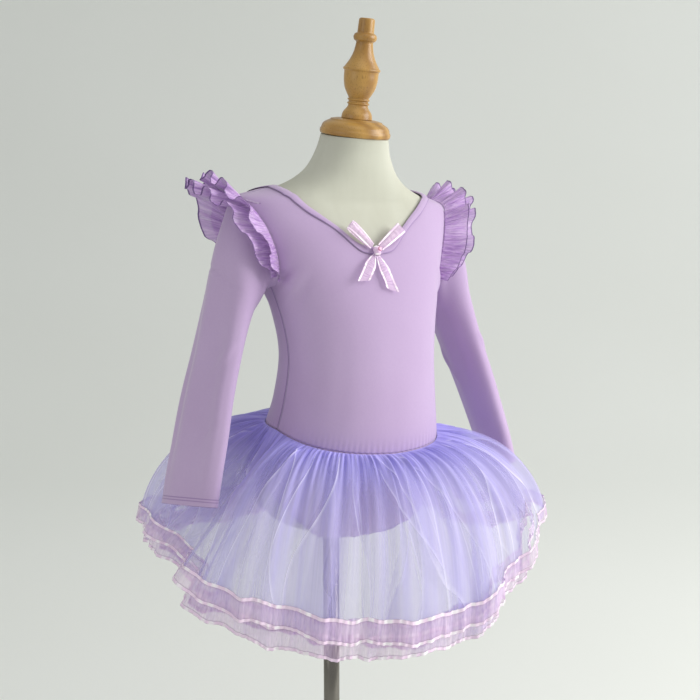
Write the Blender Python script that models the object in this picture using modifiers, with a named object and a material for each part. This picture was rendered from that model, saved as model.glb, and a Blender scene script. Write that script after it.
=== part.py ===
"""A small child's skirted ballet leotard, worn by a limbless dress form on a pole and a round base.

Units are metres, +Z is up and the form faces -Y, so the wearer's right side is at -X. The torso and
all it wears are modelled upright and hang on one empty, which leans them about the top of the pole.
The origin is the centre of the base's underside. Cloth is a wall: a lofted surface with a Solidify
modifier. Every panel is read from one body surface by a section row and an angle round it: 0 degrees
is the wearer's left, 90 the back, 180 the right and 270 the front.
"""

import math
from collections import namedtuple

import bmesh
import bpy
import numpy as np
from mathutils import Vector

COLLECTION_NAME = "skirted_ballet_leotard"

LEAN_ANGLE = math.radians(4.0)
LEAN_PIVOT = (0.0, 0.0, 0.52)

SEAM_GAP = 0.0003
SIDE_SEAM_GAP = 0.0006
WAIST_SEAM_GAP = 0.0005
JERSEY = 0.0012
SHEER = 0.0011
RIBBON = 0.0011
FORM_INSET = JERSEY + 0.0040
NECK_INSET = JERSEY + 0.0014
STRAP_LEVEL = 0.510
FORM_INSET_PLACES = (13.2, 14.4)
FORM_UNDERSIDE = STRAP_LEVEL + FORM_INSET

BodyRow = namedtuple("BodyRow", "height half_width side_y front_y back_y")
BODY = (
    BodyRow(0.5100, 0.066, -0.010, -0.066, 0.040),
    BodyRow(0.5180, 0.081, -0.010, -0.084, 0.054),
    BodyRow(0.5350, 0.090, -0.012, -0.095, 0.061),
    BodyRow(0.5650, 0.094, -0.018, -0.105, 0.062),
    BodyRow(0.6150, 0.0925, -0.028, -0.112, 0.052),
    BodyRow(0.6550, 0.087, -0.033, -0.109, 0.040),
    BodyRow(0.7000, 0.084, -0.033, -0.102, 0.037),
    BodyRow(0.7400, 0.089, -0.024, -0.095, 0.050),
    BodyRow(0.7750, 0.099, -0.012, -0.086, 0.066),
    BodyRow(0.8050, 0.110, 0.000, -0.075, 0.073),
    BodyRow(0.8300, 0.121, 0.010, -0.062, 0.070),
    BodyRow(0.8480, 0.128, 0.017, -0.049, 0.063),
    BodyRow(0.8590, 0.127, 0.020, -0.042, 0.058),
    BodyRow(0.8670, 0.103, 0.016, -0.041, 0.054),
    BodyRow(0.8755, 0.078, 0.008, -0.041, 0.050),
    BodyRow(0.8840, 0.062, 0.004, -0.041, 0.046),
    BodyRow(0.8950, 0.050, 0.000, -0.041, 0.042),
    BodyRow(0.9120, 0.041, -0.002, -0.040, 0.037),
    BodyRow(0.9280, 0.037, -0.004, -0.041, 0.033),
)
BODY_FULLNESS = 0.88

# The neckline and the dropped waist seam, by the angle off the centre front or the centre back.
EdgeRow = namedtuple("EdgeRow", "off_centre height")
FRONT_NECKLINE = (
    EdgeRow(0, 0.8170), EdgeRow(8, 0.8215), EdgeRow(16, 0.8370), EdgeRow(25, 0.8500),
    EdgeRow(40, 0.8615), EdgeRow(60, 0.8690), EdgeRow(90, 0.8730),
)
BACK_NECKLINE = (EdgeRow(0, 0.8490), EdgeRow(30, 0.8560), EdgeRow(60, 0.8660), EdgeRow(90, 0.8730))
FRONT_WAIST = (EdgeRow(0, 0.6115), EdgeRow(45, 0.6155), EdgeRow(90, 0.6245))
BACK_WAIST = (EdgeRow(0, 0.6230), EdgeRow(45, 0.6240), EdgeRow(90, 0.6245))

PANEL_COLUMNS = 18
SIDE_SEAM_HEIGHTS = (0.645, 0.670, 0.695, 0.720, 0.748)
UNDERARM_HEIGHT = 0.775
SHOULDER_TIP_HEIGHT = 0.859
ARMHOLE_STEPS = 7
ARMHOLE_OPEN = math.radians(24.0)
ARMHOLE_RADIUS = 0.037
CENTRE_SHIFT = 4.5
BINDING_WIDTH = 0.008
BINDING_OVER_EDGE = 0.12
BINDING_SEAT = 0.0004

# The brief, from the waist down: how far each row reaches either side, as angles off the centre.
# The strap passes the pole on the wearer's right.
BriefRow = namedtuple("BriefRow", "height right_reach left_reach")
BRIEF_FRONT = (
    BriefRow(0.590, 90, 90), BriefRow(0.562, 90, 90), BriefRow(0.547, 76, 74),
    BriefRow(0.535, 61, 50), BriefRow(0.524, 50, 20), BriefRow(0.515, 44, -7),
    BriefRow(STRAP_LEVEL, 43, -9),
)
BRIEF_BACK = (
    BriefRow(0.590, 90, 90), BriefRow(0.562, 90, 90), BriefRow(0.543, 80, 78),
    BriefRow(0.530, 68, 56), BriefRow(0.521, 56, 26), BriefRow(0.514, 45, -7),
    BriefRow(STRAP_LEVEL, 43, -9),
)
BRIEF_COLUMNS = 12
STRAP_RIGHT_X = -0.047
STRAP_LEFT_X = -0.015
CROTCH_SEAM_Y = -0.006

# Each sleeve below its armhole: the ring's centre, half sizes across and through, the tilt of its
# plane, and how far its front edge turns in towards the body.
SleeveRow = namedtuple("SleeveRow", "height reach y half_width half_depth tilt turn")
RIGHT_SLEEVE = (
    SleeveRow(0.787, 0.127, 0.002, 0.0340, 0.0320, 47, 0),
    SleeveRow(0.748, 0.140, -0.001, 0.0360, 0.0205, 30, 3),
    SleeveRow(0.705, 0.153, -0.008, 0.0365, 0.0155, 20, 7),
    SleeveRow(0.662, 0.1665, -0.017, 0.0365, 0.0145, 17, 11),
    SleeveRow(0.624, 0.1765, -0.025, 0.0365, 0.0140, 15, 15),
    SleeveRow(0.589, 0.1845, -0.030, 0.0360, 0.0135, 14, 18),
    SleeveRow(0.556, 0.1905, -0.034, 0.0350, 0.0130, 13, 20),
)
LEFT_SLEEVE = (
    SleeveRow(0.787, 0.127, 0.002, 0.0340, 0.0320, 47, 0),
    SleeveRow(0.748, 0.141, -0.002, 0.0360, 0.0205, 32, 3),
    SleeveRow(0.706, 0.156, -0.009, 0.0365, 0.0155, 24, 7),
    SleeveRow(0.664, 0.1735, -0.016, 0.0365, 0.0145, 22, 10),
    SleeveRow(0.627, 0.1885, -0.021, 0.0360, 0.0140, 22, 12),
    SleeveRow(0.594, 0.2025, -0.024, 0.0355, 0.0135, 22, 13),
    SleeveRow(0.563, 0.2150, -0.026, 0.0345, 0.0130, 21, 14),
)
SLEEVE_FORWARD = math.radians(9)
SLEEVE_HEAD_OUT = 0.0010
SLEEVE_HEAD_IN = 0.0008
SLEEVE_TIP_DROP = 0.0026
SLEEVE_FOLD_AT = math.radians(62)
SLEEVE_FOLD_WIDTH = math.radians(24)
SLEEVE_FOLD_DEPTH = 0.0028

# The hem of the skirt by direction round its own centre line: how far out and how high it hangs, and
# how much the cloth above it puffs. It lies flat and dips inward under each cuff.
SKIRT_CENTRE = (0.0, -0.02)
HemRow = namedtuple("HemRow", "direction reach height puff")
HEM = (
    HemRow(0, 0.190, 0.503, 0.0), HemRow(10, 0.200, 0.505, 0.3), HemRow(24, 0.215, 0.503, 0.9),
    HemRow(55, 0.206, 0.490, 1.0), HemRow(95, 0.194, 0.482, 1.0), HemRow(130, 0.206, 0.490, 1.0),
    HemRow(150, 0.217, 0.500, 1.0), HemRow(161, 0.212, 0.503, 0.7), HemRow(171, 0.190, 0.497, 0.1),
    HemRow(180, 0.187, 0.490, 0.0), HemRow(190, 0.214, 0.486, 0.0), HemRow(199, 0.224, 0.481, 0.6),
    HemRow(210, 0.207, 0.468, 1.0), HemRow(225, 0.190, 0.453, 1.0), HemRow(245, 0.182, 0.446, 1.0),
    HemRow(270, 0.180, 0.443, 1.0), HemRow(290, 0.187, 0.450, 1.0), HemRow(308, 0.199, 0.478, 1.0),
    HemRow(324, 0.218, 0.510, 1.0), HemRow(337, 0.222, 0.532, 1.0), HemRow(348, 0.205, 0.520, 0.5),
)
PUFF_TURN = math.radians(86)
FLAT_TURN = math.radians(20)
SKIRT_COLUMNS = 84
SKIRT_ROWS = (0.0, 0.18, 0.50, 0.89, 1.0)
WAIST_SEAT = 0.0011
LAYER_STEP_AT_WAIST = 0.0031
LAYER_GAP_AT_WAIST = 0.0024
LAYER_GAP_AT_HEM = 0.0100
SKIRT_WAVES = 14
WAVE_HEIGHT = 0.0085
WAVE_OWN_SHARE = 0.25
WAVE_GROWTH = 1.35
SkirtLayer = namedtuple("SkirtLayer", "name order drop phase")
LAYERS = (
    SkirtLayer("outer", 0, 0.000, 0.0),
    SkirtLayer("middle", 1, 0.011, 2.1),
    SkirtLayer("inner", 2, 0.004, 4.2),
)

# Armhole ruffles: two tiers sewn into the top of the armhole. Each row is a share of the way from
# the front end over the shoulder to the back end, with the width there and the lift off the sleeve.
RuffleRow = namedtuple("RuffleRow", "share width lift")
RUFFLE = (
    RuffleRow(0.00, 0.012, 34), RuffleRow(0.15, 0.027, 20), RuffleRow(0.35, 0.036, 6),
    RuffleRow(0.52, 0.044, -2), RuffleRow(0.70, 0.045, 12), RuffleRow(0.88, 0.036, 42),
    RuffleRow(1.00, 0.014, 66),
)
Tier = namedtuple("Tier", "name width_share lift seat phase")
TIERS = (Tier("outer", 1.0, 0, 0.0, 0.0), Tier("inner", 0.72, 18, 0.0028, 1.0))
RUFFLE_START = math.radians(-44)
RUFFLE_END = math.radians(220)
RUFFLE_SEAT = 0.0008
RUFFLE_TIER_OUT = 0.35
RUFFLE_COLUMNS = 48
RUFFLE_WAVES = 9
RUFFLE_WAVE_HEIGHT = 0.0038
RUFFLE_ROWS = (0.0, 0.45, 1.0)

# The bow on the centre front: each ribbon piece's direction in the bow's plane and its sizes.
BOW_HEIGHT = 0.8125
BOW_RIBBON = 0.0125
Loop = namedtuple("Loop", "name angle length")
BOW_LOOPS = (Loop("bow_loop_right", 133, 0.039), Loop("bow_loop_left", 35, 0.045))
Tail = namedtuple("Tail", "name angle length slant")
BOW_TAILS = (Tail("bow_tail_right", 236, 0.037, -0.009), Tail("bow_tail_left", 287, 0.043, 0.009))
BOW_SEAT = 0.0012

BASE_RADIUS = 0.140
BASE_EDGE = 0.005
BASE_RISE = 0.010
POLE_RADIUS = 0.009
COLLAR_RADIUS = 0.0112
COLLAR_HEIGHT = 0.012
HEAD_TILT = math.radians(5.0)
CAP_RADIUS = 0.0372
CAP_HEIGHT = 0.0175
ROUND_STEPS = 20

# name: colour, roughness, metallic
MATERIALS = {
    "jersey": ((0.50, 0.38, 0.62, 1.0), 0.85, 0.0),
    "tulle": ((0.42, 0.40, 0.78, 1.0), 0.80, 0.0),
    "organza": ((0.72, 0.52, 0.74, 1.0), 0.45, 0.0),
    "stone": ((0.80, 0.35, 0.55, 1.0), 0.15, 0.0),
    "padded_form": ((0.72, 0.71, 0.64, 1.0), 0.80, 0.0),
    "beech": ((0.62, 0.38, 0.16, 1.0), 0.50, 0.0),
    "chrome": ((0.70, 0.70, 0.70, 1.0), 0.20, 1.0),
}


def clear_scene():
    for obj in list(bpy.data.objects):
        bpy.data.objects.remove(obj, do_unlink=True)


def make_material(name):
    colour, roughness, metallic = MATERIALS[name]
    material = bpy.data.materials.new(name)
    material.use_nodes = True
    shader = material.node_tree.nodes["Principled BSDF"]
    shader.inputs["Base Color"].default_value = colour
    shader.inputs["Roughness"].default_value = roughness
    shader.inputs["Metallic"].default_value = metallic
    material.diffuse_color = colour
    return material


def add_object(name, mesh, material, leaning=True):
    """Put a mesh in the scene as one named piece, on the leaning empty or upright."""
    obj = bpy.data.objects.new(name, mesh)
    mesh.materials.append(material)
    COLLECTION.objects.link(obj)
    if leaning:
        obj.parent = LEANING
        obj.location = -Vector(LEAN_PIVOT)
    return obj


def smooth_between(values, place):
    """Read a Catmull-Rom curve through rows of values at a place counted in rows."""
    last = len(values) - 1
    index = int(min(max(math.floor(place), 0), last - 1))
    part = place - index
    before = values[max(index - 1, 0)]
    start = values[index]
    end = values[index + 1]
    after = values[min(index + 2, last)]
    linear = end - before
    square = 2 * before - 5 * start + 4 * end - after
    cube = 3 * start - before - 3 * end + after
    return start + 0.5 * part * (linear + part * (square + part * cube))


BODY_VALUES = np.array([tuple(row) for row in BODY])
BODY_PLACES = np.linspace(0, len(BODY) - 1, 361)
BODY_HEIGHTS = np.array([smooth_between(BODY_VALUES, place)[0] for place in BODY_PLACES])


def place_of_height(height):
    return float(np.interp(height, BODY_HEIGHTS, BODY_PLACES))


def section_point(place, angle):
    height, half_width, side_y, front_y, back_y = smooth_between(BODY_VALUES, place)
    across = math.cos(angle)
    along = math.sin(angle)
    reach = back_y - side_y if along > 0 else side_y - front_y
    x = half_width * math.copysign(abs(across) ** BODY_FULLNESS, across)
    y = side_y + reach * math.copysign(abs(along) ** BODY_FULLNESS, along)
    return np.array((x, y, height))


def body_point(place, angle, out=0.0):
    """A point of the body surface, moved out along the surface's normal."""
    turn = 0.01
    low = max(place - 0.05, 0.0)
    high = min(place + 0.05, len(BODY) - 1.0)
    round_way = section_point(place, angle + turn) - section_point(place, angle - turn)
    up_way = section_point(high, angle) - section_point(low, angle)
    normal = np.cross(round_way, up_way)
    return section_point(place, angle) + out * normal / np.linalg.norm(normal)


def edge_height(rows, off_centre):
    return float(np.interp(off_centre, [row.off_centre for row in rows], [row.height for row in rows]))


def waist_height(angle):
    rows = FRONT_WAIST if math.sin(angle) < 0 else BACK_WAIST
    return edge_height(rows, 90 - math.degrees(math.asin(min(abs(math.sin(angle)), 1.0))))


def neck_height(angle):
    """The neckline's height. Its front centre sits a little to the wearer's right."""
    if math.sin(angle) > 0:
        return edge_height(BACK_NECKLINE, abs(math.degrees(angle) - 90))
    off_centre = math.degrees(angle) - (270 - CENTRE_SHIFT)
    span = 90 + math.copysign(CENTRE_SHIFT, off_centre)
    return edge_height(FRONT_NECKLINE, abs(off_centre) * 90 / span)


def grid_normals(grid, closed):
    """Unit normals of a grid of points whose rows go up and whose columns go anticlockwise."""
    if closed:
        across = np.roll(grid, -1, axis=1) - np.roll(grid, 1, axis=1)
    else:
        across = np.gradient(grid, axis=1)
    up = np.gradient(grid, axis=0)
    normals = np.cross(across, up)
    return normals / np.linalg.norm(normals, axis=2, keepdims=True)


def loft(name, grid, closed=False, flip=False):
    """A surface through a grid of points, in triangles, so that both sides of a wall match."""
    rows, columns = grid.shape[:2]
    mesh = bpy.data.meshes.new(name)
    shape = bmesh.new()
    points = [[shape.verts.new(grid[row, column]) for column in range(columns)] for row in range(rows)]
    for row in range(rows - 1):
        for column in range(columns if closed else columns - 1):
            after = (column + 1) % columns
            low_left, low_right = points[row][column], points[row][after]
            top_left, top_right = points[row + 1][column], points[row + 1][after]
            shape.faces.new((low_left, low_right, top_right))
            shape.faces.new((low_left, top_right, top_left))
    if flip:
        bmesh.ops.reverse_faces(shape, faces=shape.faces)
    for face in shape.faces:
        face.smooth = True
    shape.to_mesh(mesh)
    shape.free()
    return mesh


def cloth(name, grid, thickness, material, closed=False, flip=False, outward=False):
    """A cloth wall: the lofted grid is its outer side, or its inner side where it grows outward."""
    obj = add_object(name, loft(name, grid, closed, flip), MATERIAL[material])
    solidify = obj.modifiers.new("wall", "SOLIDIFY")
    solidify.thickness = thickness
    solidify.offset = 1.0 if outward else -1.0
    return obj


def turned(name, profile, material, steps=ROUND_STEPS, leaning=True):
    """A turned piece from a profile of radius and height, listed from the top down."""
    mesh = bpy.data.meshes.new(name)
    edges = [(index, index + 1) for index in range(len(profile) - 1)]
    mesh.from_pydata([(radius, 0.0, height) for radius, height in profile], edges, [])
    obj = add_object(name, mesh, MATERIAL[material], leaning)
    screw = obj.modifiers.new("turn", "SCREW")
    screw.steps = steps
    screw.render_steps = steps
    screw.use_merge_vertices = True
    screw.merge_threshold = 0.00001
    screw.use_smooth_shade = True
    return obj


def arc_places(count, centre, radius_x, radius_y, start, end):
    """Points of a stretch of an ellipse, for a turned profile."""
    turns = [math.radians(start + (end - start) * step / count) for step in range(count + 1)]
    return [(centre[0] + radius_x * math.cos(turn), centre[1] + radius_y * math.sin(turn)) for turn in turns]


def make_stand():
    profile = [(0.0, BASE_RISE), (0.018, BASE_RISE), (0.024, BASE_RISE - 0.0015)]
    profile += [(BASE_RADIUS - 0.004, BASE_EDGE + 0.0008), (BASE_RADIUS - 0.001, BASE_EDGE - 0.0005)]
    profile += [(BASE_RADIUS, BASE_EDGE - 0.002), (BASE_RADIUS, 0.0), (0.0, 0.0)]
    turned("base_plate", profile, "chrome", steps=36, leaning=False)

    collar_top = FORM_UNDERSIDE - SEAM_GAP
    collar_bottom = collar_top - COLLAR_HEIGHT
    tilt_room = POLE_RADIUS * math.sin(LEAN_ANGLE)
    pole_top = collar_bottom - SEAM_GAP - tilt_room
    foot = BASE_RISE + SEAM_GAP
    profile = [(0.0, pole_top), (POLE_RADIUS, pole_top), (POLE_RADIUS, foot), (0.0, foot)]
    turned("pole", profile, "chrome", steps=20, leaning=False)

    chamfer = 0.0012
    profile = [(0.0, collar_top), (COLLAR_RADIUS, collar_top), (COLLAR_RADIUS, collar_bottom + chamfer)]
    profile += [(COLLAR_RADIUS - chamfer, collar_bottom), (0.0, collar_bottom)]
    turned("pole_collar", profile, "chrome", steps=20)


def make_form():
    """The padded torso and neck, a little inside the cloth, with its top tilted for the cap."""
    columns = 28
    places = [0.0, 0.5, 1.0, 2.0, 3.0, 4.2, 5.5, 6.5, 7.5, 8.5, 9.5, 10.4, 11.2, 11.7, 12.0, 12.3]
    places += [12.8, 13.4, 14.0, 15.0, 16.0, 17.0, 18.0]
    grid = np.zeros((len(places), columns, 3))
    for row, place in enumerate(places):
        for column in range(columns):
            angle = 2 * math.pi * column / columns
            inset = float(np.interp(place, FORM_INSET_PLACES, (FORM_INSET, NECK_INSET)))
            grid[row, column] = body_point(place, angle, -inset)
    grid[0, :, 2] = FORM_UNDERSIDE
    neck_y = grid[-1, :, 1].mean()
    for row, share in ((-1, 1.0), (-2, 0.5)):
        level = BODY[-1].height if row == -1 else grid[row, :, 2].mean()
        grid[row, :, 2] = level + share * math.tan(HEAD_TILT) * (grid[row, :, 1] - neck_y)
    mesh = loft("form_torso", grid, closed=True)
    shape = bmesh.new()
    shape.from_mesh(mesh)
    rims = [edge for edge in shape.edges if edge.is_boundary]
    caps = bmesh.ops.holes_fill(shape, edges=rims, sides=0)["faces"]
    bmesh.ops.poke(shape, faces=caps)
    bmesh.ops.recalc_face_normals(shape, faces=shape.faces)
    shape.to_mesh(mesh)
    shape.free()
    add_object("form_torso", mesh, MATERIAL["padded_form"])
    return neck_y


def make_head(neck_y):
    """The turned cap and finial on the neck, tilted forward with it."""
    cap = [(0.0, CAP_HEIGHT), (0.0190, CAP_HEIGHT), (0.0270, 0.0160), (0.0328, 0.0122), (0.0360, 0.0070)]
    cap += [(CAP_RADIUS, 0.0022), (CAP_RADIUS - 0.0008, 0.0004), (CAP_RADIUS - 0.0020, 0.0), (0.0, 0.0)]
    foot = CAP_HEIGHT + SEAM_GAP
    finial = [(0.0, 0.1200), (0.0070, 0.1196), (0.0082, 0.1180), (0.0086, 0.1055)]
    finial += arc_places(3, (0.0082, 0.1005), 0.0040, 0.0044, 75, -75)
    finial += [(0.0088, 0.0950), (0.0104, 0.0860), (0.0134, 0.0780), (0.0184, 0.0698), (0.0192, 0.0672)]
    finial += [(0.0174, 0.0652), (0.0168, 0.0570), (0.0148, 0.0480), (0.0104, 0.0385)]
    finial += [(0.0116, 0.0370), (0.0104, 0.0352), (0.0116, 0.0332), (0.0106, 0.0308)]
    finial += [(0.0140, 0.0258), (0.0160, 0.0205), (0.0162, foot), (0.0, foot)]
    for name, profile in (("neck_cap", cap), ("neck_finial", finial)):
        obj = turned(name, profile, "beech")
        seat = Vector((0.0, neck_y, BODY[-1].height + SEAM_GAP))
        obj.location = seat - Vector(LEAN_PIVOT)
        obj.rotation_euler = (HEAD_TILT, 0.0, 0.0)


def armhole_place(turn):
    """The section row of the armhole at a turn round it: -90 is the underarm, 90 the shoulder tip."""
    low = place_of_height(UNDERARM_HEIGHT)
    high = place_of_height(SHOULDER_TIP_HEIGHT)
    return low + (high - low) * (0.5 + 0.5 * math.sin(turn))


def armhole_point(turn, side, out=0.0, widen=0.0):
    """A point of the armhole's edge, widened or narrowed along the body surface."""
    scale = 1.0 + widen / ARMHOLE_RADIUS
    middle = armhole_place(0.0)
    place = middle + scale * (armhole_place(turn) - middle)
    angle = math.pi + scale * ARMHOLE_OPEN * math.cos(turn)
    return body_point(place, angle, out) * np.array((-side, 1.0, 1.0))


def panel_rows():
    """The rows of a bodice panel: how far up its side edge, and the angle off the side line."""
    rows = [(place_of_height(height), 0.0) for height in SIDE_SEAM_HEIGHTS]
    for step in range(ARMHOLE_STEPS + 1):
        turn = math.pi * step / ARMHOLE_STEPS - math.pi / 2
        rows.append((armhole_place(turn), ARMHOLE_OPEN * math.cos(turn)))
    return rows


def binding_place(place, angle):
    """The section row that lies the binding's width below the neckline."""
    rate = np.linalg.norm(section_point(place, angle) - section_point(place - 0.1, angle)) / 0.1
    return place - BINDING_WIDTH / rate


def bodice_grid(front, out=0.0):
    """Rows from the waist seam to the neckline, columns anticlockwise seen from above."""
    first = math.pi if front else 0.0
    away = -1.0 if front else 1.0
    bottom = place_of_height(FRONT_WAIST[-1].height)
    neck = place_of_height(FRONT_NECKLINE[-1].height)
    top = binding_place(neck, math.pi)
    rows = [(bottom, 0.0)] + panel_rows() + [(top, 0.0)]
    grid = np.zeros((len(rows) + 1, PANEL_COLUMNS + 1, 3))
    for column in range(PANEL_COLUMNS + 1):
        share = column / PANEL_COLUMNS
        for row, (place, open_angle) in enumerate(rows + [(neck, 0.0)]):
            angle = first + open_angle + share * (math.pi - 2 * open_angle)
            low = place_of_height(waist_height(angle))
            high = place_of_height(neck_height(angle))
            edge = binding_place(high, angle)
            reach = (place - bottom) / (top - bottom)
            here = high if row == len(rows) else low + reach * (edge - low)
            point = body_point(here, angle, out)
            if row == 0:
                point[2] += WAIST_SEAM_GAP / 2
            if column in (0, PANEL_COLUMNS) and open_angle < 1e-6:
                point[1] += away * SIDE_SEAM_GAP / 2
            grid[row, column] = point
    return grid


def make_bodice():
    for name, front in (("bodice_front", True), ("bodice_back", False)):
        cloth(name, bodice_grid(front), JERSEY, "jersey")
    back = bodice_grid(False, BINDING_SEAT)[-2:]
    front = bodice_grid(True, BINDING_SEAT)[-2:]
    ring = np.concatenate((back, front[:, 1:-1]), axis=1)
    ring[1] += BINDING_OVER_EDGE * (ring[1] - ring[0])
    cloth("neck_binding", ring, JERSEY, "jersey", closed=True, outward=True)


def brief_grid(front):
    """Rows from the crotch seam up over the strap and the hip to the waist seam."""
    middle = 1.5 * math.pi if front else 0.5 * math.pi
    side = 1.0 if front else -1.0
    rows = BRIEF_FRONT if front else BRIEF_BACK
    lines = []
    waist = []
    for column in range(BRIEF_COLUMNS + 1):
        share = column / BRIEF_COLUMNS
        angle = middle + side * math.radians(-90 + 180 * share)
        point = body_point(place_of_height(waist_height(angle)), angle)
        point[2] -= WAIST_SEAM_GAP / 2
        waist.append(point)
    lines.append(waist)
    for row in rows:
        line = []
        for column in range(BRIEF_COLUMNS + 1):
            share = column / BRIEF_COLUMNS
            off = -row.right_reach + share * (row.left_reach + row.right_reach)
            angle = middle + side * math.radians(off)
            line.append(body_point(place_of_height(row.height), angle))
        lines.append(line)
    for point in lines[-1]:
        point[2] = STRAP_LEVEL
    for line in lines[:3]:
        for point in (line[0], line[-1]):
            point[1] -= side * SIDE_SEAM_GAP / 2
    edge = lines[-1]
    seam_y = CROTCH_SEAM_Y - side * SIDE_SEAM_GAP / 2
    for share in (0.5, 1.0):
        line = []
        for column in range(BRIEF_COLUMNS + 1):
            across = column / BRIEF_COLUMNS
            seam_x = STRAP_RIGHT_X + across * (STRAP_LEFT_X - STRAP_RIGHT_X)
            seam = np.array((seam_x, seam_y, STRAP_LEVEL))
            line.append(edge[column] + share * (seam - edge[column]))
        lines.append(line)
    return np.array(lines[::-1])


def make_brief():
    cloth("brief_front", brief_grid(True), JERSEY, "jersey")
    cloth("brief_back", brief_grid(False), JERSEY, "jersey", flip=True)


def sleeve_grid(rows, side):
    """Rows down the sleeve from the armhole, columns from the front edge over the outer face."""
    columns = 2 * ARMHOLE_STEPS
    turns = [2 * math.pi * column / columns for column in range(columns)]
    head = []
    for turn in turns:
        inward = SLEEVE_HEAD_IN + SLEEVE_TIP_DROP * max(math.sin(turn), 0.0) ** 2
        head.append(armhole_point(turn, side, out=SLEEVE_HEAD_OUT, widen=-inward))
    lines = [head]
    for number, row in enumerate(rows):
        tilt = math.radians(row.tilt)
        turn_in = math.radians(row.turn)
        forward = SLEEVE_FORWARD * min(number / 2, 1.0)
        front = np.array((math.sin(turn_in), -math.cos(turn_in), math.tan(forward)))
        flat_out = np.array((-math.cos(turn_in), -math.sin(turn_in), 0.0))
        outer = math.cos(tilt) * flat_out + math.sin(tilt) * np.array((0.0, 0.0, 1.0))
        centre = np.array((-row.reach, row.y, row.height))
        fold = SLEEVE_FOLD_DEPTH * math.sin(math.pi * (number + 1) / (len(rows) + 1))
        line = []
        for turn in turns:
            bend = math.exp(-((turn - SLEEVE_FOLD_AT) / SLEEVE_FOLD_WIDTH) ** 2)
            across = row.half_width * math.cos(turn)
            through = row.half_depth * math.sin(turn) - fold * bend
            line.append((centre + across * front + through * outer) * np.array((-side, 1.0, 1.0)))
        lines.append(line)
    return np.array(lines)


def make_sleeves():
    for name, rows, side in (("sleeve_right", RIGHT_SLEEVE, -1.0), ("sleeve_left", LEFT_SLEEVE, 1.0)):
        cloth(name, sleeve_grid(rows, side), JERSEY, "jersey", closed=True, flip=side < 0)


def hem_at(direction):
    """The hem's reach, height and puff at a direction in degrees, read smoothly round the skirt."""
    starts = [row.direction for row in HEM]
    index = max(step for step, start in enumerate(starts) if start <= direction % 360)
    following = starts[index + 1] if index + 1 < len(starts) else 360
    part = (direction % 360 - starts[index]) / (following - starts[index])
    ring = [HEM[(index + step) % len(HEM)] for step in (-1, 0, 1, 2)]
    values = np.array([(row.reach, row.height, row.puff) for row in ring])
    return smooth_between(values, 1 + part)


def skirt_master():
    """The outermost layer without its waves: rows from the waist to the hem."""
    grid = np.zeros((len(SKIRT_ROWS), SKIRT_COLUMNS, 3))
    for column in range(SKIRT_COLUMNS):
        angle = 2 * math.pi * column / SKIRT_COLUMNS
        start = body_point(place_of_height(waist_height(angle)), angle, WAIST_SEAT)
        start[2] -= SEAM_GAP
        direction = math.degrees(math.atan2(start[1] - SKIRT_CENTRE[1], start[0] - SKIRT_CENTRE[0]))
        reach, height, puff = hem_at(direction)
        turn = FLAT_TURN + (PUFF_TURN - FLAT_TURN) * min(max(puff, 0.0), 1.0)
        way = math.radians(direction)
        end = np.array((SKIRT_CENTRE[0] + reach * math.cos(way), SKIRT_CENTRE[1] + reach * math.sin(way),
                        height))
        for row, share in enumerate(SKIRT_ROWS):
            out_share = math.sin(turn * share) / math.sin(turn)
            puffed = (1 - math.cos(turn * share)) / (1 - math.cos(turn))
            down_share = puffed + (1 - min(max(puff, 0.0), 1.0)) * (share - puffed)
            grid[row, column] = start + (end - start) * np.array((out_share, out_share, down_share))
    return grid


def skirt_waves(layer, angle):
    """How far a layer's flutes stand out at an angle: a wave it shares and one of its own."""
    drift = 0.45 * math.sin(2 * angle + 0.7) + 0.3 * math.sin(3 * angle + 2.0)
    shared = math.sin(SKIRT_WAVES * angle + drift)
    own = math.sin(SKIRT_WAVES * angle + drift + 1.6 + layer.phase)
    strength = 0.82 + 0.18 * math.sin(5 * angle + 1.0)
    return WAVE_HEIGHT * strength * ((1 - WAVE_OWN_SHARE) * shared + WAVE_OWN_SHARE * own)


def skirt_grid(master, normals, layer):
    """One layer, inside the master by its order, with its flutes growing to the hem."""
    grid = np.zeros_like(master)
    for column in range(SKIRT_COLUMNS):
        angle = 2 * math.pi * column / SKIRT_COLUMNS
        wave = skirt_waves(layer, angle)
        for row, share in enumerate(SKIRT_ROWS):
            inward = LAYER_GAP_AT_WAIST + (LAYER_GAP_AT_HEM - LAYER_GAP_AT_WAIST) * share
            push = wave * share ** WAVE_GROWTH - layer.order * inward
            point = master[row, column] + push * normals[row, column]
            point[2] -= layer.drop * share ** 2
            grid[row, column] = point
        waist = waist_height(angle) - layer.order * LAYER_STEP_AT_WAIST
        first = body_point(place_of_height(waist), angle, WAIST_SEAT)
        grid[0, column] = first - np.array((0.0, 0.0, SEAM_GAP))
    return grid[::-1]


def make_skirt():
    master = skirt_master()
    normals = grid_normals(master[::-1], closed=True)[::-1]
    for layer in LAYERS:
        grid = skirt_grid(master, normals, layer)
        cloth("skirt_" + layer.name, grid, SHEER, "tulle", closed=True)
        outward = grid_normals(grid, closed=True)
        band = (grid + SEAM_GAP * outward)[:2]
        cloth("hem_ribbon_" + layer.name, band, RIBBON, "organza", closed=True, outward=True)


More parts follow.
